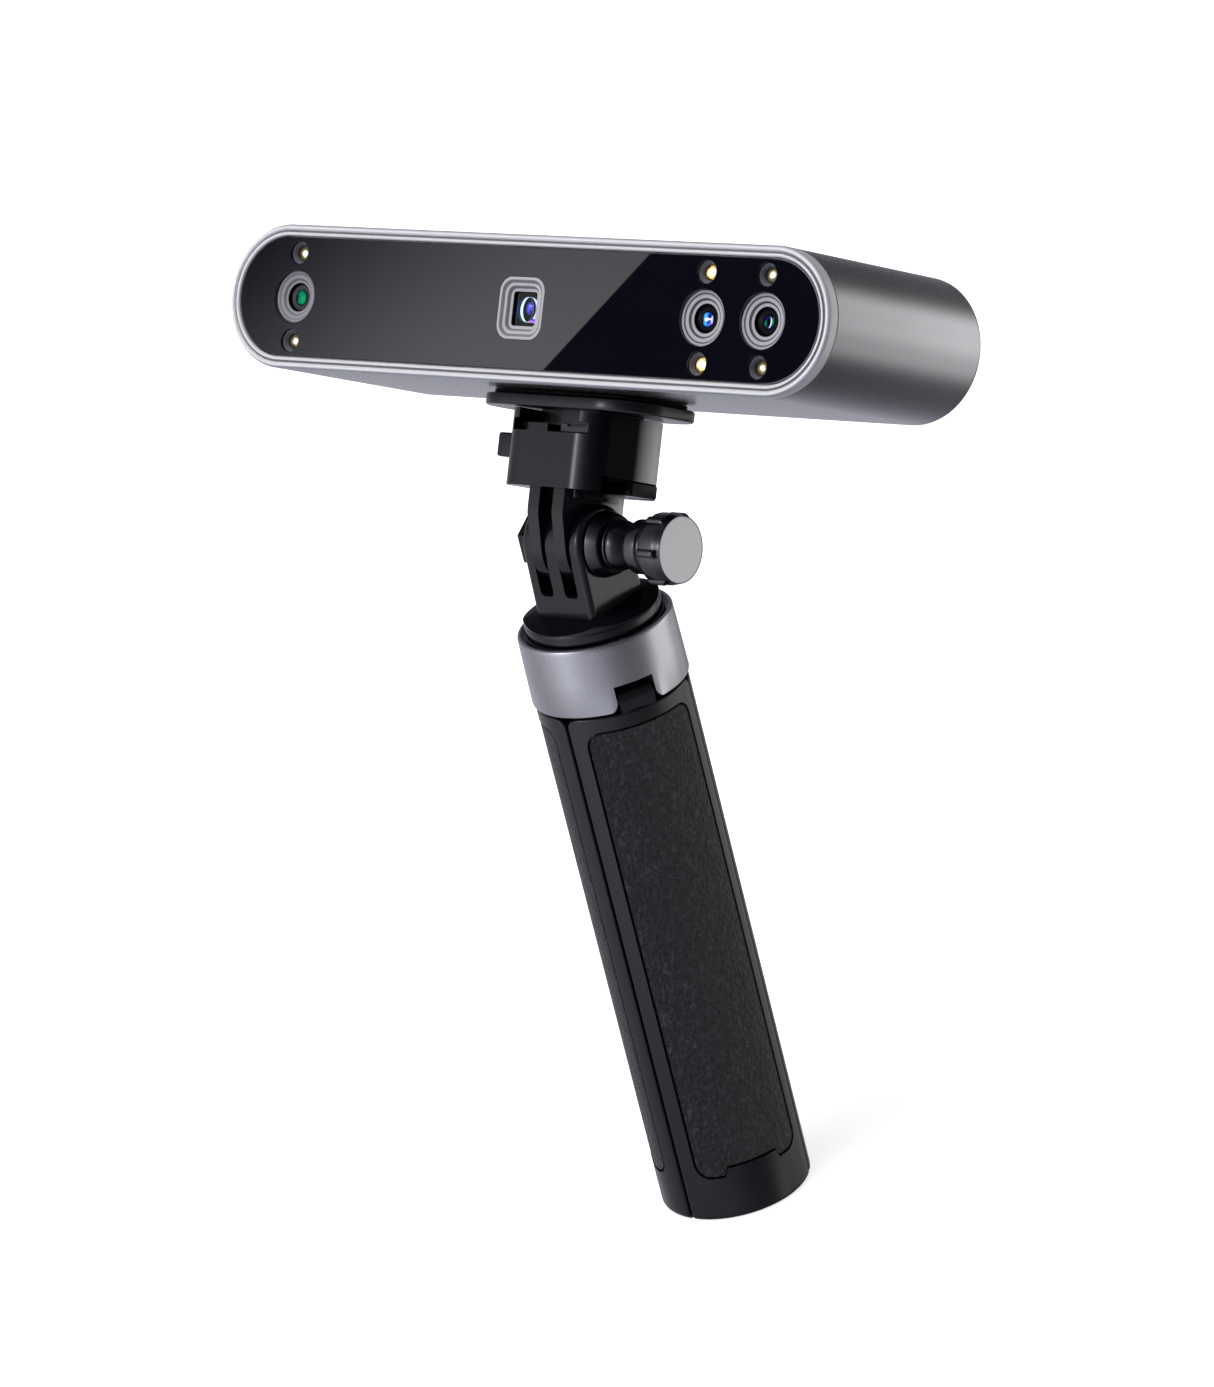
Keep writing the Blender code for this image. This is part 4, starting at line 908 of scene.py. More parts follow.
def rear_details():
    """Status light, round button, and the brass insert under the body."""
    dot = [(0, 46.75), (0.5, 46.73), (0.72, 46.62), (0.8, 46.4), (0.8, 43.0), (0, 43.0)]
    place(face_turned('status_dot', dot, 28, STATUS_X), 'light_pipe', 'scanner', 'status_light')
    button = [(0, 47.08), (1.2, 47.09), (2.2, 47.14), (3.0, 47.24), (3.5, 47.34), (3.75, 47.33),
              (3.92, 47.2), (4.0, 46.95), (4.0, 44.4), (5.2, 44.4), (5.2, 43.4), (0, 43.4)]
    place(face_turned('start_button', button, 56, 0), 'button_black', 'button', 'scan_button')
    insert = [(3.35, 28.95), (3.5, 28.75), (4.4, 28.75), (4.6, 28.9), (4.6, 30.75), (6.2, 30.75),
              (6.2, 31.8), (4.6, 31.8), (4.6, 36.4), (3.35, 36.4)]
    place(turned('threaded_insert', insert, 48, 'z'), 'turned_brass', 'scanner', 'tripod_insert')


def scanner():
    bezel()
    shell()
    window()
    for number, (x, hole_r) in enumerate(CAMERAS, 1):
        camera(number, x, hole_r)
        camera_lamps(number, x)
    projector()
    rear_cover()
    rear_screws()
    cable_socket()
    rear_details()


# ------------------------------------------------------------------ quick release
PLATE = (21.7, 12.8, 10.5)      # half x, half y, corner radius
PAD_INSET = 1.6


def mount_plate():
    """Rounded plate with a T-shaped foot, its rubber pad and its bolt."""
    plate = slab('release_plate', PLATE, 20, (
        (0.5, 25.1), (0.22, 25.18), (0.05, 25.4), (0.0, 25.7), (0.0, 27.1), (0.06, 27.3),
        (0.25, 27.46), (0.5, 27.5)))
    join(plate, box('tool', (-7.4, 7.4), (-5.6, 8.0), (22.1, 25.5)),
         box('tool', (-9.2, 9.2), (-5.6, 8.0), (20.7, 22.5)))
    cut(plate, turned('tool', [(0, 20), (4.6, 20), (4.6, 23.6), (3.3, 23.6), (3.3, 29), (0, 29)],
                      36, 'z'))
    place(plate, 'plate_black', 'scanner', 'mount_plate', smooth=35)

    # the pad's near-black is rubber and also painted shadow in the gap under the body
    pad = slab('plate_rubber', [size - PAD_INSET for size in PLATE], 16,
               ((0.15, 27.7), (0, 27.85), (0, 28.25), (0.15, 28.4)))
    cut(pad, rod(6.0, 27, 29, 32))
    place(pad, 'pad_rubber_shadow', 'scanner', 'plate_pad')

    bolt = turned('plate_bolt', [(0, 21.0), (3.8, 21.0), (4.2, 21.15), (4.3, 21.4), (4.3, 23.3),
                                 (3.05, 23.3), (3.05, 34.8), (2.5, 35.4), (0, 35.4)], 36, 'z')
    cut(bolt, box('tool', (-5, 5), (-0.6, 0.6), (20, 22.0)))
    place(bolt, 'plain_steel', 'scanner', 'plate_screw')


def prong_outline():
    """Round prong end about the hinge, with a tangent up to the front of the clamp."""
    front, z, r, steps = -10.1, 3.9, 8.2, 40
    start = atan2(z, front) + acos(r / hypot(front, z))
    points = [(front, 12.0), (front, z + 1.6), (front + 0.12, z + 0.5), (front + 0.5, z - 0.7)]
    for k in range(steps + 1):
        a = start + (2 * pi - start) * k / steps
        points.append((r * cos(a), r * sin(a)))
    return points + [(r, 12.0)]


def clamp_body():
    ob = slab('clamp_housing', (12.0, 12.0, 5.5), 20, ((0, 9.6), (0, 24.8)))
    for x0, x1 in ((-4.5, -1.75), (1.75, 4.5)):
        join(ob, bar('tool', prong_outline(), ((x0, 1.0), (x1, 1.0))))
    join(ob, slab('tool', (6.0, 6.8, 2.0), 6, ((0, 8.15), (0, 11.0)), (0.0, -0.8)))
    cut(ob,
        # T channel for the plate
        box('tool', (-7.7, 7.7), (-13, 13), (22.2, 26)),
        box('tool', (-9.5, 9.5), (-13, 13), (20.4, 22.8)),
        # pocket for the lock tab
        box('tool', (4.95, 13), (-8.0, 9.0), (9.0, 12.7)),
        # pockets for the release button and its spring
        box('tool', (-13, -9.8), (-6.2, 2.2), (15.1, 20.3)),
        box('tool', (-13, -4.9), (-6.0, 2.0), (15.3, 19.1)),
        box('tool', (-9.6, 0.3), (-9.3, -5.3), (15.7, 20.8)),
        rod(2.1, -8, 1.2, 28, 'x', (0, -2.0, 17.2)),
        # hinge bore
        rod(HINGE_BORE, -6, 6, 48, 'x'))
    place(ob, 'clamp_black_painted_band', 'tilt_head', 'clamp_body', bevel=0.22)


def release_button():
    """Key on the -x side with four grooves."""
    ob = slab('release_key', (2.7, 4.0, 0.7), 5, (
        (0.45, 15.3), (0.2, 15.37), (0.05, 15.55), (0.0, 15.8), (0.0, 19.6), (0.05, 19.85),
        (0.2, 20.03), (0.45, 20.1)), (-15.1, -2.0), corner_rate=0.6)
    join(ob, box('tool', (-12.9, -7.5), (-5.7, 1.7), (15.6, 18.8)),
         box('tool', (-9.3, -2.6), (-9.0, -5.6), (16.0, 22.2)))
    for k in range(4):
        z = 16.35 + k * 0.95
        cut(ob, box('tool', (-18.5, -17.5), (-5.2, 1.2), (z - 0.17, z + 0.17)))
    place(ob, 'clamp_black_painted_band', 'release', 'release_button', smooth=35)


def release_spring():
    """Coil along x: rings of wire points about the centre line."""
    start_x, length, y, z = -6.8, 4.8, -2.0, 17.2
    coil_r, wire_r, sides, turn_steps, turns = 1.35, 0.3, 8, 28, 4
    rings, steps = [], turn_steps * turns
    for i in range(steps + 1):
        a = 2 * pi * i / turn_steps
        x = start_x + length * i / steps
        points = []
        for k in range(sides):
            b = 2 * pi * k / sides
            r = coil_r + wire_r * cos(b)
            points.append((x + wire_r * sin(b), y + r * cos(a), z + r * sin(a)))
        rings.append(points)
    place(loft('release_coil', rings), 'plain_steel', 'release', 'release_spring', smooth=60)


def lock_and_stop():
    key = slab('lock_key', (3.55, 4.15, 0.6), 5, (
        (0.35, 9.7), (0.12, 9.78), (0.0, 10.0), (0.0, 12.1), (0.12, 12.32), (0.35, 12.4)),
        (8.85, 4.55), corner_rate=0.6)
    place(key, 'lock_black', 'lock', 'lock_tab', smooth=35)
    stop = box('stop_piece', (0.9, 8.8), (-9.2, -6.0), (20.7, 22.4))
    cut(stop, box('tool', (2.6, 7.4), (-9.6, -8.4), (21.9, 23)))
    place(stop, 'catch_grey', 'tilt_head', 'stop_block', bevel=0.18)


# ------------------------------------------------------------------ thumb screw
RIBS, RIB_PHASE, RIB_HALF_W = 6, radians(163.0), 0.8
# radius, x, rib height
KNOB = (
    (2.6, 11.1, 0), (5.0, 11.1, 0), (5.18, 11.18, 0), (5.25, 11.3, 0), (5.25, 11.55, 0),
    (5.18, 11.66, 0), (4.95, 11.7, 0), (4.9, 11.78, 0), (4.98, 11.95, 0), (5.0, 12.15, 0),
    (4.98, 12.4, 0), (4.92, 12.7, 0), (4.8, 13.1, 0), (4.62, 13.5, 0), (4.4, 13.95, 0),
    (4.15, 14.4, 0), (3.86, 14.9, 0), (3.5, 15.5, 0), (3.15, 16.1, 0), (3.05, 16.5, 0),
    (5.0, 16.6, 0), (5.24, 16.68, 0), (5.36, 16.9, 0), (5.38, 17.2, 0), (5.38, 19.1, 0),
    (5.32, 19.4, 0), (5.1, 19.65, 0), (5.0, 19.9, 0), (5.0, 20.5, 0), (5.1, 20.75, 0),
    (5.6, 21.1, 0), (6.4, 21.5, 0.1), (6.8, 21.7, 0.35), (7.0, 21.95, 0.5), (7.05, 22.2, 0.52),
    (7.06, 22.6, 0.52), (7.06, 25.2, 0.52), (7.03, 25.4, 0.52), (6.95, 25.7, 0.5),
    (6.85, 26.1, 0.3), (6.78, 26.35, 0.0), (6.7, 26.7, 0), (6.66, 26.9, 0), (6.62, 27.0, 0),
    (6.55, 27.0, 0), (6.52, 26.95, 0), (6.52, 26.2, 0), (2.6, 26.2, 0))


def ribbed_ring(r, x, rib, steps=240):
    points = []
    for k in range(steps):
        a = 2 * pi * (k / steps)
        off = ((a - RIB_PHASE) * RIBS / (2 * pi) + 0.5) % 1.0 - 0.5
        off = abs(off) * 2 * pi / RIBS * r        # arc distance from the rib's middle
        reach = r + rib * sqrt(max(0.0, 1.0 - (off / RIB_HALF_W) ** 2))
        points.append((x, reach * cos(a), reach * sin(a)))
    return points


def thumb_screw():
    bolt = [(0, -10.6), (1.7, -10.6), (2.1, -10.5), (2.4, -10.2), (2.4, 23.5), (0, 23.5)]
    place(turned('cross_bolt', bolt, 40, 'x'), 'blackened_steel', 'thumb_screw', 'hinge_bolt')
    nut = bar('cross_nut', hexagon(4.55), ((-10.15, 0.93), (-9.85, 1.0), (-7.8, 1.0)))
    cut(nut, rod(2.65, -12, -7, 36, 'x'))
    place(nut, 'plain_steel', 'handle', 'hinge_nut')
    washer = [(2.65, 7.7), (6.2, 7.7), (6.5, 7.78), (6.65, 7.92), (6.7, 8.1), (6.66, 8.3),
              (5.98, 10.2), (5.84, 10.52), (5.6, 10.78), (5.3, 10.9), (2.65, 10.9)]
    place(turned('bearing_washer', washer, 96, 'x'), 'knob_black', 'thumb_screw', 'knob_washer',
          smooth=40)
    place(loft('thumb_grip', [ribbed_ring(*row) for row in KNOB], closed=True), 'knob_black',
          'thumb_screw', 'thumb_knob', smooth=42)
    end = [(0, 26.98), (3.0, 26.98), (6.25, 26.99), (6.42, 26.96), (6.5, 26.86), (6.51, 26.7),
           (6.51, 26.4), (0, 26.4)]
    place(turned('grip_end', end, 72, 'x'), 'knob_face_grey', 'thumb_screw', 'knob_face',
          smooth=40)


# ------------------------------------------------------------------ three-prong head
HEAD_HALF_X, HEAD_EDGE_R = 7.5, 1.3


def head_outline(inset):
    """Half-round top over a square base."""
    top, side = 7.6 - inset, 8.2 - inset
    points = [(top * cos(pi * k / 40), top * sin(pi * k / 40)) for k in range(41)]
    return points + [(-side, -13.5), (-side, -15.0), (side, -15.0), (side, -13.5)]


def prong_slot(x0, x1):
    """Gap between prongs, with a rounded floor."""
    cx, half, r, floor_z = (x0 + x1) / 2, (x1 - x0) / 2, 1.0, -8.5
    points = [(cx - half, 12.0), (cx - half, floor_z + r)]
    points += [(cx - half + r - r * cos(radians(a)), floor_z + r - r * sin(radians(a)))
               for a in (18, 36, 54, 72, 90)]
    points += [(cx + half - r + r * sin(radians(a)), floor_z + r - r * cos(radians(a)))
               for a in (0, 18, 36, 54, 72, 90)]
    points.append((cx + half, 12.0))
    return loft('tool', [[(x, y, z) for x, z in points] for y in (-12, 12)])


def three_prong_head():
    edge = [(HEAD_EDGE_R * (1 - sin(radians(a))), HEAD_EDGE_R * (1 - cos(radians(a))))
            for a in range(0, 91, 15)]        # inset, distance in from the side face
    ob = loft('prong_head',
              [[(-HEAD_HALF_X + d, y, z) for y, z in head_outline(e)] for e, d in edge] +
              [[(HEAD_HALF_X - d, y, z) for y, z in head_outline(e)] for e, d in reversed(edge)])
    flare = loft('tool', [[(-7.5 - d, -8.2 - d, z), (7.5 + d, -8.2 - d, z),
                           (7.5 + d, 8.2 + d, z), (-7.5 - d, 8.2 + d, z)]
                          for d, z in ((0, -12.8), (6.35, -14.34), (6.35, -15.4))])
    boolean(flare, rod(13.75, -11, -15.2, 112), 'INTERSECT')
    disc = turned('tool', [(0, -14.3), (13.6, -14.3), (13.78, -14.36), (13.88, -14.55),
                           (13.9, -14.8), (13.9, -16.5), (0, -16.5)], 112, 'z')
    boss = bar('tool', hexagon(5.85), ((-10.3, 0.93), (-10.16, 0.97), (-9.85, 1.0), (-7.0, 1.0)))
    join(ob, disc, flare, boss)
    cut(ob, prong_slot(1.45, 4.8))
    cut(ob, prong_slot(-4.8, -1.45))
    cut(ob, bar('tool', hexagon(5.0), ((-11, 1.0), (-7.5, 1.0))),
        rod(HINGE_BORE, -12, 9, 48, 'x'), rod(3.45, -18, -11.4, 32))
    place(ob, 'prong_black', 'handle', 'three_prong_head', bevel=0.28)

    rim = [(3.45, -16.85), (13.6, -16.85), (13.95, -16.88), (14.13, -16.98), (14.2, -17.15),
           (14.2, -17.9), (12.6, -17.9), (12.6, -24.6), (9.6, -24.6), (9.6, -34.0), (5.5, -34.0),
           (5.5, -27.0), (3.45, -27.0)]
    place(turned('hub_rim', rim, 96, 'z'), 'hub_black', 'handle', 'hub_core')


# ------------------------------------------------------------------ collar and legs
PAD_HALF_ANGLE, PAD_TOP, PAD_BOTTOM = 43.8, 35.0, 134.4     # top and bottom: below the hinge
PAD_CORNER, PAD_GAP = 3.0, 0.45
PAD_STEP, PAD_STEP_ANGLE = 1.9, 21.5    # the middle ends this much higher, within this angle


def polar(leg_angle, u, r, z):
    """A point r out along a leg's direction and u across it."""
    a = radians(leg_angle)
    return (r * sin(a) + u * cos(a), -r * cos(a) + u * sin(a), z)


def on_cylinder(leg_angle, side_angle, r, down):
    a = radians(side_angle)
    return polar(leg_angle, r * sin(a), r * cos(a), -down)


def sleeve(name, leg_angle, inner_r, outer_r, columns):
    """Part of a tube wall. columns: side angle, top and bottom distance below the hinge."""
    return loft(name, [[on_cylinder(leg_angle, p, outer_r, a),
                        on_cylinder(leg_angle, p, outer_r, b),
                        on_cylinder(leg_angle, p, inner_r, b),
                        on_cylinder(leg_angle, p, inner_r, a)] for p, a, b in columns])


def quarter_round(radius, k, steps):
    """Along-edge and inward distance of step k of a rounded corner."""
    along = radius * (1 - cos(radians(90.0 * k / steps)))
    return along, radius - sqrt(max(0.0, radius * radius - (radius - along) ** 2))


def pad_columns(gap, steps=34):
    """Columns of the grip pad, or of its recess when a gap is given."""
    half_angle = PAD_HALF_ANGLE + degrees(gap / LEG_R)
    top, bottom, corner = PAD_TOP - gap, PAD_BOTTOM + gap, PAD_CORNER + gap
    edge = []
    for k in range(10):
        along, inward = quarter_round(corner, k, 9)
        edge.append((half_angle - degrees(along / LEG_R), inward))
    inner = half_angle - degrees(corner / LEG_R)
    angles = [-inner + 2 * inner * k / steps for k in range(1, steps)]
    middle = [(p, PAD_STEP if abs(p) < PAD_STEP_ANGLE else 0.0)
              for p in angles if abs(abs(p) - PAD_STEP_ANGLE) > 2.2]
    for side in (-1, 1):
        for j in range(9):
            f = j / 8.0
            middle.append((side * (PAD_STEP_ANGLE + 1.9 - 3.8 * f),
                           PAD_STEP * (3 * f * f - 2 * f * f * f)))
    return ([(-p, top + h, bottom - h) for p, h in edge] +
            [(p, top, bottom - lift) for p, lift in sorted(middle)] +
            [(p, top + h, bottom - h) for p, h in reversed(edge)])


def notch_columns():
    """Notch open at the collar's lower edge, its lower corners flaring outward."""
    half_angle, top, edge, bottom, flare = 15.2, 25.6, 31.0, 34.0, 2.2
    right = [(half_angle, top, bottom), (half_angle + 0.02, edge - flare, bottom)]
    for k in range(1, 13):
        e = flare * (1 - cos(radians(90.0 * k / 12)))
        s = edge - flare + sqrt(max(0.0, flare * flare - (flare - e) ** 2))
        right.append((half_angle + degrees(e / 15.97), s + (0.05 if k == 12 else 0.0), bottom))
    left = [(-p, a, b) for p, a, b in reversed(right)]
    return left + [(p, top, bottom) for p in (-11, -7, -3, 3, 7, 11)] + right


def leg_pin(name, leg_angle, profile):
    """Turned piece on the pin axis of a leg."""
    ob = turned(name, profile, 24, 'x')
    for v in ob.data.vertices:
        u, r, z = v.co
        v.co = polar(leg_angle, u, LEG_PIN_R + r, z + LEG_PIN_Z)
    edit(ob.data, face_outward)
    return ob


def collar():
    ob = turned('collar_ring', [
        (14.9, -16.75), (15.0, -16.63), (15.15, -16.6), (15.32, -16.63), (15.5, -16.74),
        (15.65, -16.92), (15.72, -17.15), (15.745, -17.6), (15.86, -24.0), (15.96, -30.6),
        (15.9, -30.85), (15.75, -31.0), (12.9, -31.0), (12.9, -18.2), (14.9, -18.2)], 144, 'z')
    for leg_angle in LEG_ANGLES:
        cut(ob, sleeve('tool', leg_angle, 11.0, 18.0, notch_columns()),
            leg_pin('tool', leg_angle, rod_profile(0.95, -5.9, 5.9)))
    place(ob, 'collar_anodised', 'handle', 'collar', smooth=28)


def leg_section(r, gap, z, leg_angle, steps=26):
    """A third of a disc with softened outer corners; gap is kept to each neighbour's plane."""
    corner_r = 0.75
    end_angle = 60.0 - degrees(asin(gap / r))
    corner = (r * sin(radians(end_angle)), r * cos(radians(end_angle)))
    flat = (sin(radians(60)), cos(radians(60)))
    apex = (0.0, gap / sin(radians(60)))
    side = (corner[0] - corner_r * flat[0], corner[1] - corner_r * flat[1])
    arc_angle = end_angle - degrees(corner_r / r)
    outer = [(r * sin(radians(arc_angle * k / steps)), r * cos(radians(arc_angle * k / steps)))
             for k in range(-steps, steps + 1)]
    bend = []
    for k in range(1, 6):
        f = k / 6.0
        bend.append(tuple((1 - f) ** 2 * e + 2 * f * (1 - f) * c + f * f * s
                          for e, c, s in zip(outer[-1], corner, side)))
    left = [(-u, v) for u, v in reversed(bend)]
    points = [apex, (-side[0], side[1])] + left + outer + bend + [side]
    return [polar(leg_angle, u, v, z) for u, v in points]


def leg_rings(leg_angle, gap=0.25, top=31.6, top_r=2.0, foot_r=1.3):
    """Rounded shoulder, straight run, rounded foot on the floor."""
    rings = []
    for k in range(13):
        down, inward = quarter_round(top_r, k, 12)
        shrink = (0.3, 0.1, 0.03)[k] if k < 3 else 0.0
        lead = (0.1, 0.18, 0.25)[min(k, 2)]
        rings.append(leg_section(LEG_R - shrink, gap + inward, -(top + down + lead - 0.1),
                                 leg_angle))
    rings.append(leg_section(LEG_R, gap, -80.0, leg_angle))
    for a in range(0, 91, 15):
        rings.append(leg_section(LEG_R - foot_r + foot_r * cos(radians(a)), gap,
                                 -(PIVOT_Z - foot_r + foot_r * sin(radians(a))), leg_angle))
    return rings


def leg(letter, leg_angle):
    """One leg with its hinge ear, grip pad and pin."""
    ob = loft('grip_leg_' + letter, leg_rings(leg_angle))
    cut(ob, rod(9.95, -30, -34.3, 60))
    ear_r = 1.75
    ear = arc(LEG_PIN_R, LEG_PIN_Z, ear_r, range(0, 181, 10))
    ear += [(LEG_PIN_R - ear_r, -33.0), (LEG_PIN_R + 1.35, -33.0), (LEG_PIN_R + 1.6, -30.4)]
    join(ob, loft('tool', [[polar(leg_angle, r * tan(radians(p)), r, z) for r, z in ear]
                           for p in (-13.8, 0, 13.8)]))
    cut(ob, leg_pin('tool', leg_angle, rod_profile(0.95, -6, 6)),
        sleeve('tool', leg_angle, 14.3, 17.0, pad_columns(PAD_GAP)))
    body = 'leg_%s_body' % letter
    place(ob, 'leg_charcoal', body, 'leg_' + letter, smooth=30)
    pad = sleeve('grip_pad_' + letter, leg_angle, 14.45, 15.42, pad_columns(0.0))
    place(pad, 'grip_leather', body, 'leg_pad_' + letter, bevel=0.22, segments=3, bevel_angle=50)
    axle = [(0, -5.6), (0.55, -5.6), (0.7, -5.45), (0.7, 5.45), (0.55, 5.6), (0, 5.6)]
    place(leg_pin('leg_axle_' + letter, leg_angle, axle), 'plain_steel', 'handle',
          'leg_pin_' + letter)


# ------------------------------------------------------------------ build
# CAD pieces kept as they are, with their materials
KEPT = {'main_pcb': 'solder_mask', 'optical_bench': 'machined_bench',
        'projector_module': 'module_black', 'adapter_screw': 'plain_steel',
        'camera_module_1': 'module_black', 'camera_module_2': 'module_black',
        'camera_module_3': 'module_black'}

make_materials()
scanner()
mount_plate()
clamp_body()
release_button()
release_spring()
lock_and_stop()
thumb_screw()
three_prong_head()
collar()
for letter, leg_angle in zip('abc', LEG_ANGLES):
    leg(letter, leg_angle)
for node_name, material_name in KEPT.items():
    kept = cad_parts[node_name]
    kept.data.materials.clear()
    kept.data.materials.append(MATERIALS[material_name])

# ------------------------------------------------------------------ camera
# Held in the head frame, about the centre of the scanner's front.
AZIMUTH, ELEVATION, ROLL = radians(39.932), radians(-0.914), radians(6.379)
SHIFT_X, SHIFT_Y, DISTANCE = -16.774, 74.562, 1354.587
LENS = 181.6870944

sight = Vector((sin(AZIMUTH) * cos(ELEVATION), -cos(AZIMUTH) * cos(ELEVATION), sin(ELEVATION)))
level_right = (-sight).cross(Vector((0, 0, 1))).normalized()
level_up = level_right.cross(-sight).normalized()
rolled_right = level_right * cos(ROLL) + level_up * sin(ROLL)
rolled_up = level_up * cos(ROLL) - level_right * sin(ROLL)
from_front = -(rolled_right * SHIFT_X + rolled_up * SHIFT_Y - sight * DISTANCE)
lean_back = Matrix(((1, 0, 0), (0, LEAN_COS, LEAN_SIN), (0, -LEAN_SIN, LEAN_COS)))
CAM_AT = lean_back @ (from_front + Vector((0.0, FRONT_Y, BODY_Z))) + Vector((0, 0, PIVOT_Z))
CAM_RIGHT, CAM_UP, CAM_BACK = (lean_back @ v for v in (rolled_right, rolled_up, sight))


def photo_camera():
    data = bpy.data.cameras.new('photo_camera')
    data.sensor_width = 36.0
    data.lens = LENS
    data.clip_start, data.clip_end = 0.05, 20.0
    ob = bpy.data.objects.new('photo_camera', data)
    bpy.context.scene.collection.objects.link(ob)
    rows = [(CAM_RIGHT[i], CAM_UP[i], CAM_BACK[i], CAM_AT[i] * MM) for i in range(3)]
    ob.matrix_world = Matrix((*rows, (0, 0, 0, 1)))
    bpy.context.scene.camera = ob


# ------------------------------------------------------------------ stage and light
def floor(radius=3000, steps=64):
    ob = loft('floor', [[(radius * cos(2 * pi * k / steps), radius * sin(2 * pi * k / steps), z)
                         for k in range(steps)] for z in (-6.0, -0.02)])
    for v in ob.data.vertices:
        v.co *= MM
    shader = new_material('floor_pale')
    patches = shader.noise(shader.coords(), scale=3.0, detail=2.0, roughness=0.5)
    shader.surface({'Base Color': shader.ramp(patches, [(0.3, (0.86, 0.86, 0.865)),
                                                        (0.7, (0.88, 0.88, 0.885))]),
                    'Roughness': 0.9, 'Specular IOR Level': 0.1,
                    'Emission Color': (1, 1, 1, 1), 'Emission Strength': 0.75})
    ob.data.materials.append(MATERIALS['floor_pale'])
    ob.visible_diffuse = False
    ob.visible_glossy = False


COOL, PLAIN = (0.97, 0.97, 1.08), (1.0, 1.0, 1.0)
# Soft round lights of the reflected studio:
# direction in camera axes (right, up, back), tightness, level, tint
LOBES = (
    ((0.99, 0.15, -0.06), 4, 0.26, PLAIN), ((-0.88, -0.26, 0.40), 4, 1.09, COOL),
    ((-0.46, -0.16, -0.87), 4, 0.43, COOL), ((0.94, 0.09, -0.34), 25, 1.15, PLAIN),
    ((-0.01, -0.89, 0.46), 10, 0.60, (0.95, 0.95, 1.13)), ((0.91, -0.41, -0.04), 60, 1.56, PLAIN),
    ((0.62, 0.08, -0.78), 60, 0.41, PLAIN), ((0.86, 0.41, -0.30), 60, 0.99, PLAIN),
    ((1.00, -0.07, 0.0), 60, 0.84, PLAIN), ((-0.77, 0.01, 0.64), 25, 1.16, COOL),
    ((0.20, 0.94, -0.28), 25, 0.27, COOL), ((0.57, -0.78, 0.26), 10, 0.20, COOL),
    ((-0.72, -0.54, 0.44), 25, 0.44, COOL), ((-0.84, 0.12, 0.53), 140, 6.5, COOL),
    ((0.0, -0.3, -0.95), 8, 0.24, (0.93, 0.93, 1.15)))
AMBIENT = (0.05, 0.05, 0.053)
# Plane of the mirrored panel: units per unit of slope, and where the view axis meets it
PANEL_SCALE, PANEL_X, PANEL_Y = 7000.0, 607.0, 693.5
PANEL_LEVEL, PANEL_TINT = 1.7, (1.0, 0.985, 1.02)


def camera_direction(v):
    return CAM_RIGHT * v[0] + CAM_UP * v[1] + CAM_BACK * v[2]


def mirrored(v):
    """A camera-axes direction after reflection in the scanner's front plane."""
    normal = Vector((0.0, -LEAN_COS, LEAN_SIN))
    normal = Vector((normal.dot(CAM_RIGHT), normal.dot(CAM_UP), normal.dot(CAM_BACK)))
    v = Vector(v)
    return camera_direction(v - normal * (2 * v.dot(normal)))


def lobe_light(shader, direction):
    total = None
    for towards, tightness, level, tint in LOBES:
        facing = shader.vector('DOT_PRODUCT', direction,
                               camera_direction(Vector(towards).normalized()))
        falloff = shader.math('EXPONENT', shader.times(shader.minus(facing, 1.0), tightness))
        light = shader.vector('SCALE', [level * t for t in tint], falloff)
        total = light if total is None else shader.vector('ADD', total, light)
    return shader.vector('ADD', total, AMBIENT)


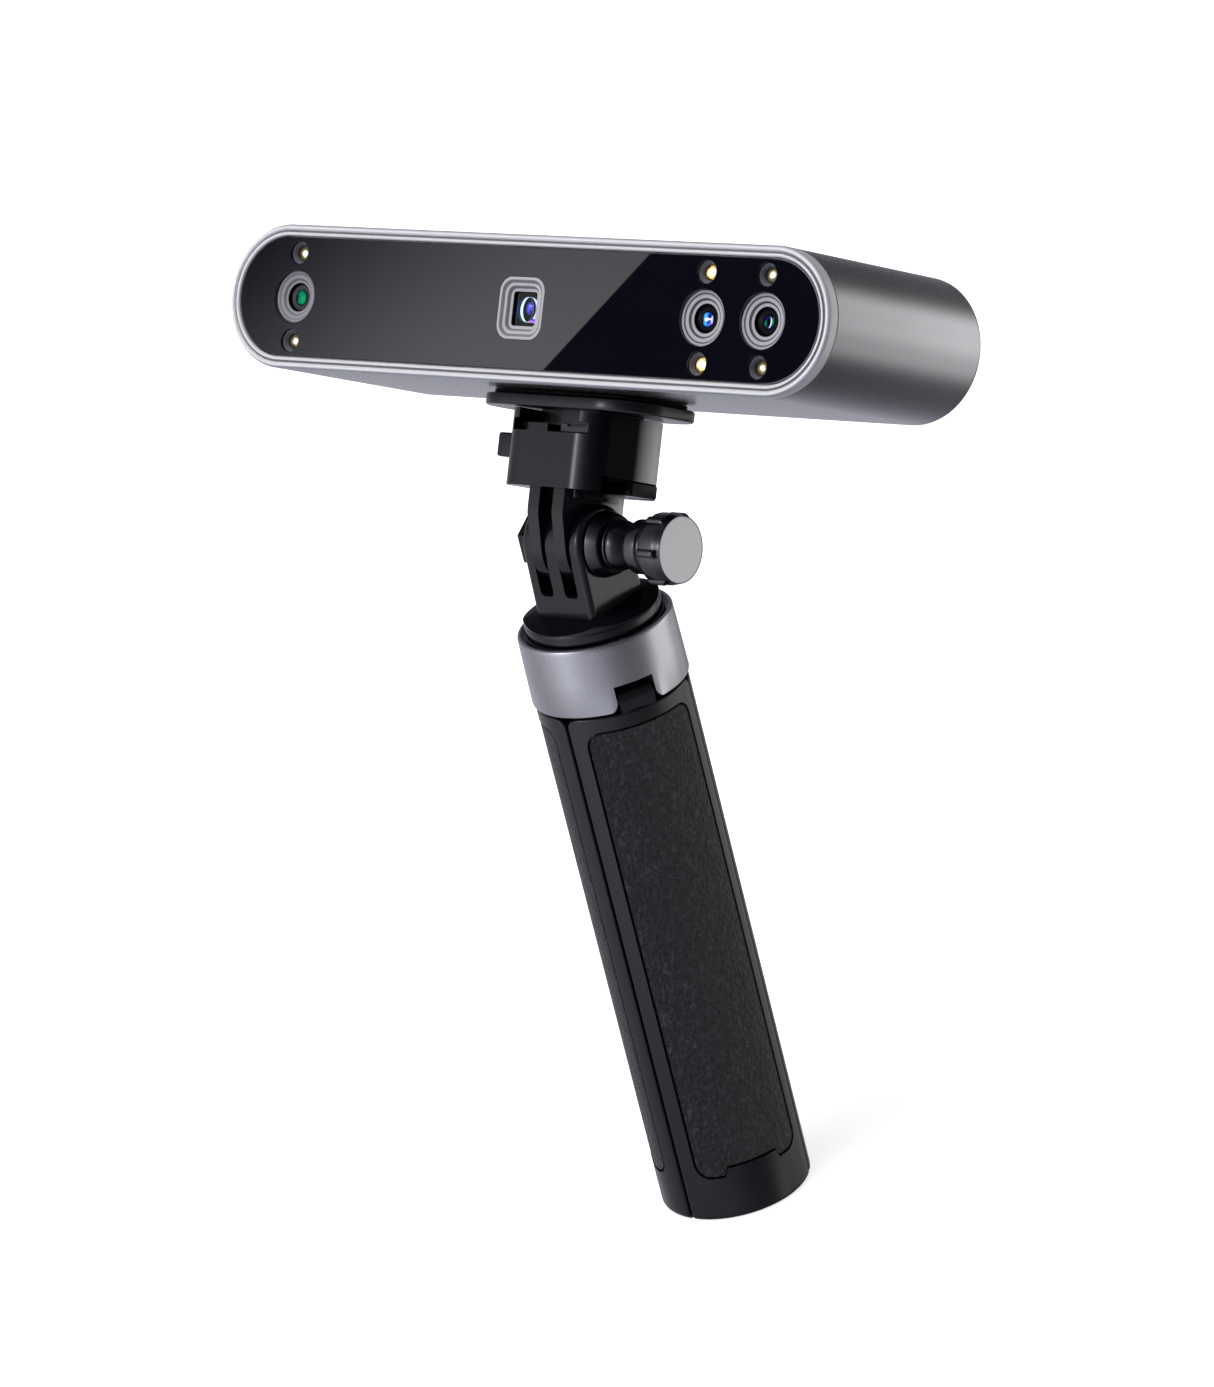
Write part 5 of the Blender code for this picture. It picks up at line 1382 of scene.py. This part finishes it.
def panel_light(shader, direction):
    """One large soft panel with a slanting edge, seen mirrored in the polished front.

    Returns the mask of the region it fills and its colour."""
    right, up, ahead = (shader.vector('DOT_PRODUCT', direction, mirrored(v))
                        for v in ((1, 0, 0), (0, 1, 0), (0, 0, -1)))
    across = shader.plus(shader.times(shader.math('DIVIDE', right, ahead), PANEL_SCALE), PANEL_X)
    down = shader.minus(PANEL_Y, shader.times(shader.math('DIVIDE', up, ahead), PANEL_SCALE))
    # distance to the left of the slanting edge, which moves left on the way down
    edge = shader.minus(shader.minus(646.0, shader.times(shader.minus(down, 258.0), 0.92)),
                        across)
    level = shader.times(shader.smooth_step(edge, 470.0, 60.0),
                         shader.smooth_step(edge, -1.0, 1.0), PANEL_LEVEL)
    level = shader.times(
        level, shader.plus(0.72, shader.times(shader.smooth_step(down, 150.0, 400.0), 0.34)))
    inside_across = shader.times(shader.smooth_step(across, 60.0, 130.0),
                                 shader.smooth_step(across, 980.0, 900.0))
    inside_down = shader.times(shader.smooth_step(down, 120.0, 170.0),
                               shader.smooth_step(down, 520.0, 460.0),
                               shader.smooth_step(ahead, 0.9, 0.91))
    colour = shader.add('CombineColor', {k: shader.times(level, tint)
                                         for k, tint in enumerate(PANEL_TINT)})
    return shader.times(inside_across, inside_down), colour.outputs[0]


def studio_world():
    """Plain white to the camera; lobes and the panel to everything else."""
    world = bpy.data.worlds.new('studio')
    bpy.context.scene.world = world
    shader = Shader(world)
    shader.tree.nodes.clear()
    direction = shader.add('TexCoord').outputs['Generated']
    lobes = lobe_light(shader, direction)
    inside, panel = panel_light(shader, direction)
    studio = shader.blend(inside, lobes, panel)
    seen = shader.add('LightPath').outputs['Is Camera Ray']
    colour = shader.blend(seen, studio, (1.0, 1.0, 1.0, 1))
    background = shader.add('Background', {'Color': colour, 'Strength': 1.0})
    shader.add('OutputWorld', {0: background.outputs[0]})
    world.cycles.sampling_method = 'NONE'


LIGHT_TARGET = Vector((0, 0, 0.11))


def disc_light(name, offset, power):
    light = bpy.data.lights.new(name, 'AREA')
    light.shape = 'DISK'
    light.size = 0.9
    light.energy = power
    ob = bpy.data.objects.new(name, light)
    bpy.context.scene.collection.objects.link(ob)
    position = LIGHT_TARGET + offset * 1.2
    ob.location = position
    ob.rotation_euler = (LIGHT_TARGET - position).to_track_quat('-Z', 'Y').to_euler()
    ob.visible_glossy = False


photo_camera()
floor()
studio_world()
disc_light('key', CAM_UP * 0.9 + CAM_BACK * 0.5 - CAM_RIGHT * 0.5, power=14.0)
disc_light('fill', CAM_RIGHT * 1.0 + CAM_BACK * 0.6 + CAM_UP * 0.1, power=5.0)
bpy.context.scene.view_settings.view_transform = 'Standard'
